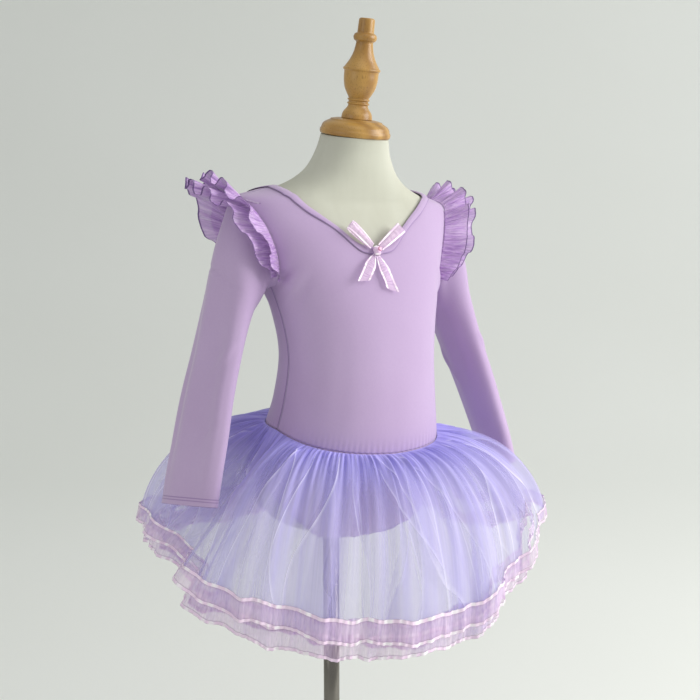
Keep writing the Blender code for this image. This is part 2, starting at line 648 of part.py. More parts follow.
def ruffle_grid(tier, side):
    """One tier, rows from its seam in the armhole to its free edge, columns front to back."""
    shares = [row.share for row in RUFFLE]
    middle = armhole_point(math.pi / 2, side)
    middle[2] = 0.5 * (UNDERARM_HEIGHT + SHOULDER_TIP_HEIGHT)
    grid = np.zeros((len(RUFFLE_ROWS), RUFFLE_COLUMNS + 1, 3))
    for column in range(RUFFLE_COLUMNS + 1):
        share = column / RUFFLE_COLUMNS
        turn = RUFFLE_START + share * (RUFFLE_END - RUFFLE_START)
        out = RUFFLE_SEAT + RUFFLE_TIER_OUT * tier.seat
        seam = armhole_point(turn, side, out, RUFFLE_SEAT + tier.seat)
        radial = seam - middle
        radial[0] = 0.0
        radial[2] = max(radial[2], 0.0)
        radial /= np.linalg.norm(radial)
        outward = np.array((side, 0.0, 0.0))
        width = tier.width_share * float(np.interp(share, shares, [row.width for row in RUFFLE]))
        lift = math.radians(tier.lift + float(np.interp(share, shares, [row.lift for row in RUFFLE])))
        along = math.cos(lift) * outward + math.sin(lift) * radial
        across = -math.sin(lift) * outward + math.cos(lift) * radial
        drift = 0.5 * math.sin(2 * math.pi * share + 0.6)
        shared = math.sin(2 * math.pi * RUFFLE_WAVES * share + drift)
        own = math.sin(2 * math.pi * RUFFLE_WAVES * share + drift + tier.phase)
        fullness = 0.4 + 0.6 * math.sin(math.pi * share)
        wave = RUFFLE_WAVE_HEIGHT * (1 + 0.8 * shared + 0.2 * own) * fullness
        for row, out_share in enumerate(RUFFLE_ROWS):
            grid[row, column] = seam + along * width * out_share + across * wave * out_share ** 1.2
    return grid


def make_ruffles():
    for side, side_name in ((-1.0, "right"), (1.0, "left")):
        for tier in TIERS:
            name = "ruffle_" + side_name + "_" + tier.name
            cloth(name, ruffle_grid(tier, side), SHEER, "organza", outward=True, flip=side > 0)


def bow_frame():
    """The bow's origin and its three directions: across, up the chest and out of it."""
    place = place_of_height(BOW_HEIGHT)
    angle = math.radians(270 - CENTRE_SHIFT)
    centre = body_point(place, angle)
    up = body_point(place + 0.2, angle) - body_point(place - 0.2, angle)
    up[0] = 0.0
    up /= np.linalg.norm(up)
    across = np.array((1.0, 0.0, 0.0))
    return centre, across, up, np.cross(across, up)


def make_bow():
    centre, across, up, out = bow_frame()
    half = BOW_RIBBON / 2

    def place_points(angle, local):
        way = math.radians(angle)
        along = math.cos(way) * across + math.sin(way) * up
        aside = -math.sin(way) * across + math.cos(way) * up
        return np.array([centre + p[0] * along + p[1] * aside + p[2] * out for p in local])

    steps = 14
    for loop in BOW_LOOPS:
        lines = []
        for edge in (-1.0, 1.0):
            local = []
            for step in range(steps):
                turn = 2 * math.pi * step / steps
                reach = 0.0065 + (loop.length - 0.0065) * (0.5 - 0.5 * math.cos(turn))
                swell = 0.35 + 0.65 * math.sin(turn / 2) ** 1.5
                level = BOW_SEAT + 0.0036 + 0.0034 * math.sin(turn) * swell
                local.append((reach, edge * half * (0.40 + 0.60 * swell), level))
            lines.append(place_points(loop.angle, local))
        cloth(loop.name, np.array(lines), RIBBON, "organza", closed=True, flip=True)
    for tail in BOW_TAILS:
        rows = []
        for share in (0.0, 0.3, 0.65, 1.0):
            spread = half * (0.16 + 0.84 * min(share / 0.4, 1.0))
            reach = 0.0036 + (tail.length - 0.0036) * share
            level = BOW_SEAT - 0.0008 + 0.0016 * (1 - share) ** 3 + 0.0018 * math.sin(math.pi * share)
            slant = tail.slant if share == 1.0 else 0.0
            local = [(reach + slant * (0.5 - step / 2), spread * (1 - step), level) for step in range(3)]
            rows.append(place_points(tail.angle, local))
        cloth(tail.name, np.array(rows), RIBBON, "organza", outward=True)

    shape = bmesh.new()
    bmesh.ops.create_uvsphere(shape, u_segments=12, v_segments=8, radius=0.5)
    mesh = bpy.data.meshes.new("bow_knot")
    shape.to_mesh(mesh)
    shape.free()
    knot = add_object("bow_knot", mesh, MATERIAL["organza"])
    knot.scale = (0.0088, 0.0044, 0.0098)
    knot.location = Vector(centre + out * (BOW_SEAT + 0.0040)) - Vector(LEAN_PIVOT)
    knot.rotation_euler = (-math.atan2(up[1], up[2]), 0.0, 0.0)

    shape = bmesh.new()
    bmesh.ops.create_uvsphere(shape, u_segments=8, v_segments=6, radius=0.0026)
    mesh = bpy.data.meshes.new("bow_stone")
    shape.to_mesh(mesh)
    shape.free()
    stone = add_object("bow_stone", mesh, MATERIAL["stone"])
    stone.location = Vector(centre + out * (BOW_SEAT + 0.0094)) - Vector(LEAN_PIVOT)


clear_scene()
COLLECTION = bpy.data.collections.new(COLLECTION_NAME)
bpy.context.scene.collection.children.link(COLLECTION)
MATERIAL = {name: make_material(name) for name in MATERIALS}
LEANING = bpy.data.objects.new("leaning", None)
COLLECTION.objects.link(LEANING)
LEANING.location = LEAN_PIVOT
LEANING.rotation_euler = (0.0, LEAN_ANGLE, 0.0)

make_stand()
make_head(make_form())
make_bodice()
make_brief()
make_sleeves()
make_skirt()
make_ruffles()
make_bow()
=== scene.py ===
"""The looks of a child's skirted ballet leotard on its dress form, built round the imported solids.

Units are metres, +Z is up and the form faces -Y. Cloth is worked out upright on the solids' own body
surface, and then leans with the form about LEAN_PIVOT. Most sizes are the solids' own; the neckline,
hems, ruffles, sleeve heads and the form's inset follow the photo a little past them.
Every cloth piece is a grid: its rows run up or along the cloth, its columns run across it, and both
are its UV map, which the materials read for seams, edges and gathers.
"""

import math
from collections import namedtuple

import bmesh
import bpy
import numpy as np
from mathutils import Matrix, Vector


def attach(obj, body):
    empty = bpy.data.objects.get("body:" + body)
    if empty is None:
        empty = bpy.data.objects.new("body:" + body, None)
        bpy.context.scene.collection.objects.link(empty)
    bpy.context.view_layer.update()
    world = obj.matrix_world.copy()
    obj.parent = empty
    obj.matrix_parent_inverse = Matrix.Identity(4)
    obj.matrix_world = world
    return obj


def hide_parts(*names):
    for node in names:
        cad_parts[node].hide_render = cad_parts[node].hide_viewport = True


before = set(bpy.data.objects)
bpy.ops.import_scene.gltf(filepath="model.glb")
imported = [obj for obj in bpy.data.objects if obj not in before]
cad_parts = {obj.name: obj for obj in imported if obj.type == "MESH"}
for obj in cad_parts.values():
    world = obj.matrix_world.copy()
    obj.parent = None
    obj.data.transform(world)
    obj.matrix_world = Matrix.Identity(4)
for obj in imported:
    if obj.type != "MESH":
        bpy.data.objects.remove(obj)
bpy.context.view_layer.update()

LEAN_ANGLE = math.radians(4.0)
LEAN_PIVOT = Vector((0.0, 0.0, 0.52))
LEAN = Matrix.Translation(LEAN_PIVOT) @ Matrix.Rotation(LEAN_ANGLE, 4, "Y") @ Matrix.Translation(-LEAN_PIVOT)

SEAM_GAP = 0.0003
JERSEY = 0.0012
FORM_INSET = JERSEY + 0.0040
NECK_INSET = JERSEY + 0.0014
FORM_INSET_PLACES = (7.5, 9.0)
STRAP_LEVEL = 0.510
FORM_UNDERSIDE = STRAP_LEVEL + FORM_INSET

BodyRow = namedtuple("BodyRow", "height half_width side_y front_y back_y")
BODY = (
    BodyRow(0.5100, 0.066, -0.010, -0.066, 0.040),
    BodyRow(0.5180, 0.081, -0.010, -0.084, 0.054),
    BodyRow(0.5350, 0.090, -0.012, -0.095, 0.061),
    BodyRow(0.5650, 0.094, -0.018, -0.105, 0.062),
    BodyRow(0.6150, 0.0925, -0.028, -0.112, 0.052),
    BodyRow(0.6550, 0.087, -0.033, -0.109, 0.040),
    BodyRow(0.7000, 0.084, -0.033, -0.102, 0.037),
    BodyRow(0.7400, 0.089, -0.024, -0.095, 0.050),
    BodyRow(0.7750, 0.099, -0.012, -0.086, 0.066),
    BodyRow(0.8050, 0.110, 0.000, -0.075, 0.073),
    BodyRow(0.8300, 0.121, 0.010, -0.062, 0.070),
    BodyRow(0.8480, 0.128, 0.017, -0.049, 0.063),
    BodyRow(0.8590, 0.127, 0.020, -0.042, 0.058),
    BodyRow(0.8670, 0.103, 0.016, -0.041, 0.054),
    BodyRow(0.8755, 0.078, 0.008, -0.041, 0.050),
    BodyRow(0.8840, 0.062, 0.004, -0.041, 0.046),
    BodyRow(0.8950, 0.050, 0.000, -0.041, 0.042),
    BodyRow(0.9120, 0.041, -0.002, -0.040, 0.037),
    BodyRow(0.9280, 0.037, -0.004, -0.041, 0.033),
)
BODY_FULLNESS = 0.88

# The neckline and the dropped waist seam, by the angle off the centre front or the centre back.
EdgeRow = namedtuple("EdgeRow", "off_centre height")
FRONT_NECKLINE = (
    EdgeRow(0, 0.8170), EdgeRow(8, 0.8210), EdgeRow(16, 0.8365), EdgeRow(25, 0.8508), EdgeRow(32, 0.8594),
    EdgeRow(40, 0.8640), EdgeRow(50, 0.8670), EdgeRow(60, 0.8694), EdgeRow(75, 0.8716), EdgeRow(90, 0.8730),
)
BACK_NECKLINE = (EdgeRow(0, 0.8490), EdgeRow(30, 0.8560), EdgeRow(60, 0.8660), EdgeRow(90, 0.8730))
FRONT_WAIST = (EdgeRow(0, 0.6115), EdgeRow(45, 0.6155), EdgeRow(90, 0.6245))
BACK_WAIST = (EdgeRow(0, 0.6230), EdgeRow(45, 0.6240), EdgeRow(90, 0.6245))
CENTRE_SHIFT = 4.5

UNDERARM_HEIGHT = 0.775
SHOULDER_TIP_HEIGHT = 0.859
ARMHOLE_OPEN = math.radians(24.0)
ARMHOLE_RADIUS = 0.037
BINDING_WIDTH = 0.008
BINDING_OVER_EDGE = 0.12
BINDING_SEAT = 0.0004

BriefRow = namedtuple("BriefRow", "height right_reach left_reach")
BRIEF_FRONT = (
    BriefRow(0.590, 90, 90), BriefRow(0.562, 90, 90), BriefRow(0.547, 76, 74),
    BriefRow(0.535, 61, 50), BriefRow(0.524, 50, 20), BriefRow(0.515, 44, -7),
    BriefRow(STRAP_LEVEL, 43, -9),
)
BRIEF_BACK = (
    BriefRow(0.590, 90, 90), BriefRow(0.562, 90, 90), BriefRow(0.543, 80, 78),
    BriefRow(0.530, 68, 56), BriefRow(0.521, 56, 26), BriefRow(0.514, 45, -7),
    BriefRow(STRAP_LEVEL, 43, -9),
)
STRAP_RIGHT_X = -0.047
STRAP_LEFT_X = -0.015
CROTCH_SEAM_Y = -0.006

SleeveRow = namedtuple("SleeveRow", "height reach y half_width half_depth tilt turn")
RIGHT_SLEEVE = (
    SleeveRow(0.787, 0.127, 0.002, 0.0340, 0.0320, 47, 0),
    SleeveRow(0.748, 0.140, -0.001, 0.0360, 0.0205, 30, 3),
    SleeveRow(0.705, 0.153, -0.008, 0.0365, 0.0155, 20, 7),
    SleeveRow(0.662, 0.1665, -0.017, 0.0365, 0.0145, 17, 11),
    SleeveRow(0.624, 0.1765, -0.025, 0.0365, 0.0140, 15, 15),
    SleeveRow(0.589, 0.1845, -0.030, 0.0360, 0.0135, 14, 18),
    SleeveRow(0.556, 0.1905, -0.034, 0.0350, 0.0130, 13, 20),
)
LEFT_SLEEVE = (
    SleeveRow(0.787, 0.127, 0.002, 0.0340, 0.0320, 47, 0),
    SleeveRow(0.748, 0.141, -0.002, 0.0360, 0.0205, 32, 3),
    SleeveRow(0.706, 0.156, -0.009, 0.0365, 0.0155, 24, 7),
    SleeveRow(0.664, 0.1735, -0.016, 0.0365, 0.0145, 22, 10),
    SleeveRow(0.627, 0.1885, -0.021, 0.0360, 0.0140, 22, 12),
    SleeveRow(0.594, 0.2025, -0.024, 0.0355, 0.0135, 22, 13),
    SleeveRow(0.563, 0.2150, -0.026, 0.0345, 0.0130, 21, 14),
)
SLEEVE_FORWARD = math.radians(9)
SLEEVE_HEAD_OUT = -0.0012
SLEEVE_HEAD_TUCK = 0.0010

SKIRT_CENTRE = (0.0, -0.02)
HemRow = namedtuple("HemRow", "direction reach height puff")
HEM = (
    HemRow(0, 0.190, 0.503, 0.0), HemRow(10, 0.200, 0.505, 0.3), HemRow(24, 0.215, 0.503, 0.9),
    HemRow(55, 0.206, 0.490, 1.0), HemRow(95, 0.194, 0.482, 1.0), HemRow(130, 0.206, 0.490, 1.0),
    HemRow(150, 0.217, 0.500, 1.0), HemRow(161, 0.212, 0.503, 0.7), HemRow(171, 0.190, 0.497, 0.1),
    HemRow(180, 0.187, 0.490, 0.0), HemRow(190, 0.214, 0.486, 0.0), HemRow(199, 0.224, 0.481, 0.6),
    HemRow(210, 0.207, 0.468, 1.0), HemRow(225, 0.190, 0.453, 1.0), HemRow(245, 0.182, 0.446, 1.0),
    HemRow(270, 0.180, 0.443, 1.0), HemRow(290, 0.187, 0.450, 1.0), HemRow(308, 0.199, 0.478, 1.0),
    HemRow(324, 0.218, 0.510, 1.0), HemRow(337, 0.222, 0.532, 1.0), HemRow(348, 0.205, 0.520, 0.5),
)
PUFF_TURN = math.radians(86)
FLAT_TURN = math.radians(20)
WAIST_SEAT = 0.0011
LAYER_STEP_AT_WAIST = 0.0031
LAYER_GAP_AT_WAIST = 0.0024
LAYER_GAP_AT_HEM = 0.0100
SKIRT_WAVES = 14
WAVE_HEIGHT = 0.0085
WAVE_OWN_SHARE = 0.25
WAVE_GROWTH = 1.35
SkirtLayer = namedtuple("SkirtLayer", "name order drop phase")
LAYERS = (
    SkirtLayer("outer", 0, -0.004, 0.0),
    SkirtLayer("middle", 1, 0.016, 2.1),
    SkirtLayer("inner", 2, 0.006, 4.2),
)
HEM_UNEVEN = 0.0035
WAIST_BLEND = 0.03
SKIRT_COLUMNS = 900
SKIRT_ROWS = 64
# Finer waves of a skirt layer: how many go round, their height, and the shares of the way down
# where they are highest and where they have spread out flat.
FineWave = namedtuple("FineWave", "count height start peak end drift")
SKIRT_FINE_WAVES = (
    FineWave(131, 0.0015, 0.00, 0.06, 0.42, 3.0),
    FineWave(83, 0.0020, 0.02, 0.16, 0.80, 2.2),
    FineWave(39, 0.0032, 0.05, 0.45, 1.50, 1.4),
)
RIBBON_WIDTH = 0.0205
RIBBON_BELOW_HEM = 0.0020
RIBBON_COLUMNS = 1000
RIBBON_PLEATS = 62
RIBBON_PLEAT_HEIGHT = 0.0016
RIBBON_OUT = 0.0022
RIBBON_EDGE_LIFT = 0.0012

RuffleRow = namedtuple("RuffleRow", "share width lift")
RUFFLE = (
    RuffleRow(0.00, 0.018, 30), RuffleRow(0.14, 0.033, 16), RuffleRow(0.35, 0.038, 4),
    RuffleRow(0.52, 0.045, 4), RuffleRow(0.70, 0.050, 18), RuffleRow(0.88, 0.045, 34),
    RuffleRow(1.00, 0.026, 44),
)
Tier = namedtuple("Tier", "name width_share lift seat phase")
TIERS = (Tier("outer", 1.0, 0, 0.0, 0.0), Tier("inner", 0.72, 18, 0.0028, 1.0))
RUFFLE_START = math.radians(-58)
RUFFLE_END = math.radians(220)
RUFFLE_SEAT = 0.0008
RUFFLE_TIER_OUT = 0.35
RUFFLE_WAVES = 7.5
RUFFLE_WAVE_HEIGHT = 0.0042
RUFFLE_SWAY = 0.0030
RUFFLE_COLUMNS = 420
RUFFLE_ROWS = 26

BOW_HEIGHT = 0.8125
BOW_RIBBON = 0.0125
Loop = namedtuple("Loop", "name angle length")
BOW_LOOPS = (Loop("bow_loop_right", 133, 0.039), Loop("bow_loop_left", 35, 0.045))
Tail = namedtuple("Tail", "name angle length slant")
BOW_TAILS = (Tail("bow_tail_right", 236, 0.037, -0.009), Tail("bow_tail_left", 287, 0.043, 0.009))
BOW_SEAT = 0.0012
BOW_LOOP_START = 0.0065
BOW_LOOP_MIDDLE = 0.0036
BOW_LOOP_RISE = 0.0034
BOW_TAIL_START = 0.0036
BOW_KNOT_OUT = 0.0040
BOW_STONE_OUT = 0.0094
STONE_SIDES = 8

POLE_RADIUS = 0.009
COLLAR_RADIUS = 0.0112
COLLAR_HEIGHT = 0.012
BASE_RADIUS = 0.140
BASE_EDGE = 0.005
BASE_RISE = 0.010
HEAD_TILT = math.radians(5.0)
CAP_RADIUS = 0.0372
CAP_HEIGHT = 0.0175

FLOOR_AHEAD = 5.0
WALL_AWAY = 4.2
WALL_SWEEP = 2.5
WALL_TOP = 6.0
ROOM_HALF = 8.0

# The photograph's camera: how far it stands, where it looks, and its turn round the form.
CAMERA_TURN = math.radians(-33.0)
CAMERA_PITCH = math.radians(11.7)
CAMERA_DISTANCE = 1.30
CAMERA_ASIDE = 0.02104
CAMERA_AIM_HEIGHT = 0.70
CAMERA_LENS = 61.97


class Field:
    """A shader socket that arithmetic can be written on."""

    def __init__(self, shade, socket):
        self.shade = shade
        self.socket = socket

    def maths(self, operation, *values):
        return self.shade.node("ShaderNodeMath", values, operation=operation)[0]

    def __add__(self, other):
        return self.maths("ADD", self, other)

    def __sub__(self, other):
        return self.maths("SUBTRACT", self, other)

    def __rsub__(self, other):
        return self.maths("SUBTRACT", other, self)

    def __mul__(self, other):
        return self.maths("MULTIPLY", self, other)

    def __truediv__(self, other):
        return self.maths("DIVIDE", self, other)

    def __rtruediv__(self, other):
        return self.maths("DIVIDE", other, self)

    __radd__ = __add__
    __rmul__ = __mul__

    def power(self, other):
        return self.maths("POWER", self, other)

    def sine(self):
        return self.maths("SINE", self)

    def size(self):
        return self.maths("ABSOLUTE", self)

    def floor(self):
        return self.maths("FLOOR", self)

    def least(self, other):
        return self.maths("MINIMUM", self, other)

    def most(self, other):
        return self.maths("MAXIMUM", self, other)

    def clamped(self):
        return self.least(1.0).most(0.0)

    def step(self, low, high):
        """A smooth step from 0 at low to 1 at high."""
        part = ((self - low) / (high - low)).clamped()
        return part * part * (3.0 - 2.0 * part)


class Shade:
    """A material being made. Its node method makes a node, joins its inputs and gives its outputs."""

    def __init__(self, name):
        self.material = bpy.data.materials.new(name)
        self.material.use_nodes = True
        self.tree = self.material.node_tree
        self.shader = self.tree.nodes["Principled BSDF"]

    def join(self, value, socket):
        if isinstance(value, Field):
            self.tree.links.new(value.socket, socket)
        else:
            socket.default_value = value

    def node(self, kind, inputs=(), **settings):
        made = self.tree.nodes.new(kind)
        for name, value in settings.items():
            setattr(made, name, value)
        pairs = inputs.items() if isinstance(inputs, dict) else enumerate(inputs)
        for key, value in pairs:
            self.join(value, made.inputs[key])
        return [Field(self, output) for output in made.outputs]

    def uv(self):
        """The cloth's own coordinates: across its columns and up its rows."""
        place = self.node("ShaderNodeTexCoord")[2]
        parts = self.node("ShaderNodeSeparateXYZ", [place])
        return parts[0], parts[1]

    def at(self):
        """The object's own coordinates."""
        return self.node("ShaderNodeTexCoord")[3]

    def point(self, x, y, z=0.0):
        return self.node("ShaderNodeCombineXYZ", [x, y, z])[0]

    def noise(self, vector, scale, detail=2.0, roughness=0.5):
        """Noise at one scale, or at three of them along the axes."""
        if isinstance(scale, tuple):
            vector = self.node("ShaderNodeMapping", {"Vector": vector, "Scale": scale})[0]
            scale = 1.0
        inputs = {"Vector": vector, "Scale": scale, "Detail": detail, "Roughness": roughness}
        return self.node("ShaderNodeTexNoise", inputs)[0]

    def mix(self, share, first, second):
        inputs = {0: share, 6: first, 7: second}
        return self.node("ShaderNodeMix", inputs, data_type="RGBA")[2]

    def bump(self, height, strength, distance):
        return self.node("ShaderNodeBump", {"Height": height, "Strength": strength, "Distance": distance})[0]

    def surface(self, **inputs):
        for name, value in inputs.items():
            self.join(value, self.shader.inputs[name.replace("_", " ")])
        return self.material


def colour(red, green, blue):
    """A colour as it looks on screen, from 0 to 255, as Blender's linear values."""
    parts = [channel / 255 for channel in (red, green, blue)]
    linear = [part / 12.92 if part <= 0.04045 else ((part + 0.055) / 1.055) ** 2.4 for part in parts]
    return (*linear, 1.0)


LILAC = colour(189, 164, 201)
LILAC_PALE = colour(198, 175, 210)
LILAC_SHADE = colour(173, 146, 190)
# Painted shade colour: the deep lilac of the jersey's shaded edge lines and of its darkened pieces.
PAINTED_SHADE_LILAC = colour(128, 98, 156)


def jersey_material(name, painted_shade_tone=1.0, edge_lines=()):
    """Matt fine-rib cotton jersey, with a painted line of shade at each of the edge lines across its UV, and
    painted shade over the whole of a piece that lies in shade, such as the brief.
    """
    shade = Shade(name)
    at = shade.at()
    ribs = shade.noise(at, (2600.0, 2600.0, 900.0), 1.0)
    slub = shade.noise(at, 420.0, 3.0, 0.6)
    cloudy = shade.noise(at, 11.0, 2.0)
    tint = shade.mix((cloudy * 1.6 - 0.3).clamped(), LILAC, LILAC_PALE)
    tint = shade.mix((slub * 1.3 - 0.35).clamped() * 0.28, tint, LILAC_SHADE)
    across, along = shade.uv()
    # Painted shade: each edge line is darkened toward the deep lilac.
    for axis, place, width in edge_lines:
        line = along if axis == "row" else across
        near = (line - place).size().step(width, width * 0.3)
        tint = shade.mix(near * 0.55, tint, PAINTED_SHADE_LILAC)
    normal = shade.bump(ribs * 0.7 + slub * 0.5, 0.22, 0.0004)
    # Painted shade: below 1 this darkens the whole piece toward the deep lilac.
    dark = [channel * painted_shade_tone for channel in PAINTED_SHADE_LILAC[:3]] + [1.0]
    tint = shade.mix(1.0 - painted_shade_tone, tint, dark)
    return shade.surface(
        Base_Color=tint, Roughness=0.88, Normal=normal, Sheen_Weight=0.40, Sheen_Roughness=0.45,
        Specular_IOR_Level=0.25,
    )


TULLE_DEEP = colour(164, 156, 238)
TULLE_MID = colour(190, 182, 248)
TULLE_PALE = colour(216, 208, 244)
# Painted highlight colour of the tulle's folds and gathers.
TULLE_FOLD_HIGHLIGHT = colour(240, 236, 255)
TULLE_DENSITY = 0.36
# The folded plies of a tulle layer: how many lie round it, how far they slant on their way down,
# and how much they add to its density.
Ply = namedtuple("Ply", "count slant weight")
PLIES = (Ply(29, 1.10, 0.26), Ply(23, -1.30, 0.24), Ply(41, 0.35, 0.16))


def tulle_material(name, density, seed):
    """Fine net: dense and blue where it is gathered, clearer below, with plies that slant down it and painted
    highlights along their folded edges and in the gathers.
    """
    shade = Shade(name)
    across, up = shade.uv()
    down = 1.0 - up

    def around(count, stretch, offset):
        """Noise that joins up round the skirt: about count streaks, drawn out down the cloth."""
        turn = across * (2 * math.pi)
        size = count / (2 * math.pi)
        x = turn.sine() * size
        y = (turn + math.pi / 2).sine() * size
        return shade.noise(shade.point(x, y, down * stretch + (offset + seed)), 1.0, 1.0)

    drift = around(9.0, 0.9, 0.0) - 0.5
    lines = plies = None
    fade = down.step(0.0, 0.22)
    for number, ply in enumerate(PLIES):
        place = across * float(ply.count) + down * ply.slant + drift * (3.0 + number) * down.power(0.6)
        cell = place.floor()
        part = place - cell
        folded = shade.node("ShaderNodeTexWhiteNoise", {"W": cell + (seed + 7.3 * number)},
                            noise_dimensions="1D")[0]
        soft = 1.0 - 0.55 * part
        adding = (folded.step(0.35, 0.65) * soft - 0.35) * ply.weight * fade
        edge = part.step(0.085, 0.0) * folded.step(0.40, 0.60) * fade
        plies = adding if plies is None else plies + adding
        lines = edge if lines is None else lines.most(edge)
    fine = around(560.0, 2.4, 3.0)
    broad = around(150.0, 1.5, 5.0)
    wide = around(30.0, 1.3, 9.0)
    waist = down.step(0.46, 0.0)
    streak = (fine - 0.5) * 0.9 + (broad - 0.5) * 1.5
    alpha = waist * 0.50 + down.step(0.95, 0.30) * 0.08 + density + plies
    alpha = alpha + streak * (waist * 0.60 + 0.14) + (wide - 0.5) * 0.50 + lines * 0.20
    facing = shade.node("ShaderNodeLayerWeight", {"Blend": 0.5})[1]
    alpha = alpha + facing.power(2.0) * 0.16
    tint = shade.mix(down.step(0.0, 0.70), TULLE_DEEP, TULLE_PALE)
    tint = shade.mix((broad * 2.4 - 0.7).clamped() * 0.6, tint, TULLE_MID)
    # Painted highlight: the ply fold lines and fine streaks in the waist gathers are whitened; the fold lines
    # also add density to the alpha.
    tint = shade.mix((lines * 0.62 + (fine - 0.62) * 2.0 * waist).clamped(), tint, TULLE_FOLD_HIGHLIGHT)
    return shade.surface(
        Base_Color=tint, Roughness=0.75, Alpha=alpha.most(0.03).least(0.97), Specular_IOR_Level=0.2,
        Sheen_Weight=0.15,
    )


ORGANZA = colour(242, 216, 240)
ORGANZA_DEEP = colour(220, 186, 226)
# Painted highlight colour of the glints on the satin edges.
SATIN_HIGHLIGHT = colour(255, 248, 254)
# Colour of the thread line beside the satin, and of the painted shade along the ribbon's outer edges.
EDGE_THREAD_AND_SHADE = colour(128, 108, 134)


def ribbon_material(name, edge=0.12, sheer=0.50, gathers=300.0):
    """Sheer ribbon with a woven satin edge along both sides and a thin dark thread beside each, painted
    highlights in patches along the satin, and a painted dark line of shade along each outer edge away from
    them.
    """
    shade = Shade(name)
    across, up = shade.uv()
    off_middle = (up - 0.5).size() * 2.0
    satin = off_middle.step(1.0 - 2.0 * edge, 1.0 - 2.0 * edge + 0.03)
    thread = (off_middle - (1.0 - 2.0 * edge - 0.03)).size().step(0.035, 0.010)
    rim = off_middle.step(0.965, 0.99)
    crinkle = shade.noise(shade.point(across * gathers, up * 1.4), 1.0, 2.0)
    broken = shade.noise(shade.point(across * gathers * 0.28, 3.0), 1.0, 1.0)
    glint = broken.step(0.46, 0.60)
    tint = shade.mix((crinkle * 2.0 - 0.5).clamped(), ORGANZA_DEEP, ORGANZA)
    # Painted highlight: patches of the satin edge are whitened.
    tint = shade.mix(satin, tint, shade.mix(glint, ORGANZA, SATIN_HIGHLIGHT))
    tint = shade.mix(thread * 0.7, tint, EDGE_THREAD_AND_SHADE)
    # Painted shade: a dark line along each outer edge, taken away where the painted highlight lies.
    tint = shade.mix(rim * (0.8 - 0.8 * glint), tint, EDGE_THREAD_AND_SHADE)
    alpha = satin * 0.95 + (crinkle - 0.5) * 0.5 + sheer + thread * 0.5
    rough = 0.55 - 0.28 * satin
    normal = shade.bump(crinkle, 0.5, 0.0008)
    return shade.surface(
        Base_Color=tint, Roughness=rough, Alpha=alpha.most(0.05).least(1.0), Normal=normal,
        Specular_IOR_Level=0.6,
    )


def ruffle_material():
    """Crinkled sheer lilac ruffle with gathers at its seam and a dark overlocked edge."""
    shade = Shade("ruffle_organza")
    across, up = shade.uv()
    crinkle = shade.noise(shade.point(across * 210.0, up * 1.8), 1.0, 2.0)
    broad = shade.noise(shade.point(across * 60.0, up, 4.0), 1.0, 1.0)
    glint = (1.0 - (broad * 2.0 - 1.0).size()).power(9.0)
    edge = up.step(0.955, 0.970)
    tint = shade.mix((crinkle * 2.2 - 0.6).clamped(), colour(170, 130, 200), colour(214, 178, 230))
    tint = shade.mix(glint * 0.50, tint, colour(240, 218, 246))
    tint = shade.mix(edge, tint, colour(116, 90, 142))
    alpha = (crinkle - 0.5) * 0.5 + 0.86 + edge
    normal = shade.bump(crinkle + broad * 0.6, 0.6, 0.0012)
    return shade.surface(
        Base_Color=tint, Roughness=0.42, Alpha=alpha.most(0.2).least(1.0), Normal=normal,
        Specular_IOR_Level=0.5,
    )


def form_material():
    """The dress form's tightly pulled off-white cover, faintly wrinkled and grubby."""
    shade = Shade("form_cover")
    at = shade.at()
    weave = shade.noise(at, 1500.0, 1.0)
    pull = shade.noise(at, (26.0, 26.0, 5.0), 3.0)
    tint = shade.mix((pull * 1.8 - 0.45).clamped(), colour(205, 206, 192), colour(190, 190, 174))
    normal = shade.bump(weave * 0.25 + pull, 0.30, 0.0010)
    return shade.surface(Base_Color=tint, Roughness=0.82, Normal=normal, Specular_IOR_Level=0.25)


def wood_material():
    """Varnished beech: honey brown, with its grain along the turning and short dark flecks."""
    shade = Shade("beech_wood")
    at = shade.at()
    wander = shade.noise(at, (9.0, 9.0, 3.0))
    x, y, z = shade.node("ShaderNodeSeparateXYZ", [at])
    bands = ((x * 260.0 + y * 150.0 + z * 16.0 + wander * 16.0).sine() + 1.0) * 0.5
    fibre = shade.noise(at, (900.0, 900.0, 50.0), 3.0, 0.6)
    fleck = shade.noise(at, (1300.0, 1300.0, 190.0), 1.0).step(0.60, 0.70)
    tint = shade.mix((bands * 0.75 + fibre * 0.4).clamped(), colour(150, 106, 44), colour(192, 148, 76))
    tint = shade.mix(fleck * 0.45, tint, colour(104, 68, 28))
    normal = shade.bump(fibre, 0.12, 0.0006)
    return shade.surface(
        Base_Color=tint, Roughness=fibre * 0.18 + 0.30, Normal=normal, Coat_Weight=0.25, Coat_Roughness=0.2,
    )


def chrome_material():
    shade = Shade("chromed_steel")
    at = shade.at()
    wipe = shade.noise(at, (60.0, 60.0, 14.0), 3.0)
    rough = wipe * 0.14 + 0.12
    return shade.surface(Base_Color=colour(126, 122, 116), Roughness=rough, Metallic=1.0)


def stone_material():
    shade = Shade("pink_stone")
    at = shade.at()
    depth = shade.noise(at, 700.0, 1.0)
    tint = shade.mix(depth, colour(214, 120, 170), colour(250, 196, 222))
    return shade.surface(Base_Color=tint, Roughness=0.08, Coat_Weight=0.6)


def thread_material():
    shade = Shade("sewing_thread")
    twist = shade.noise(shade.at(), 1800.0, 1.0)
    tint = shade.mix(twist, colour(150, 124, 178), colour(186, 160, 206))
    return shade.surface(Base_Color=tint, Roughness=0.7)


def wall_material():
    """A pale painted wall and floor, with a soft roller texture."""
    shade = Shade("pale_wall")
    at = shade.at()
    roller = shade.noise(at, 130.0, 2.0)
    cloudy = shade.noise(at, 1.1, 1.0)
    tint = shade.mix(cloudy, colour(232, 234, 229), colour(237, 239, 235))
    return shade.surface(Base_Color=tint, Roughness=0.9, Normal=shade.bump(roller, 0.15, 0.001))


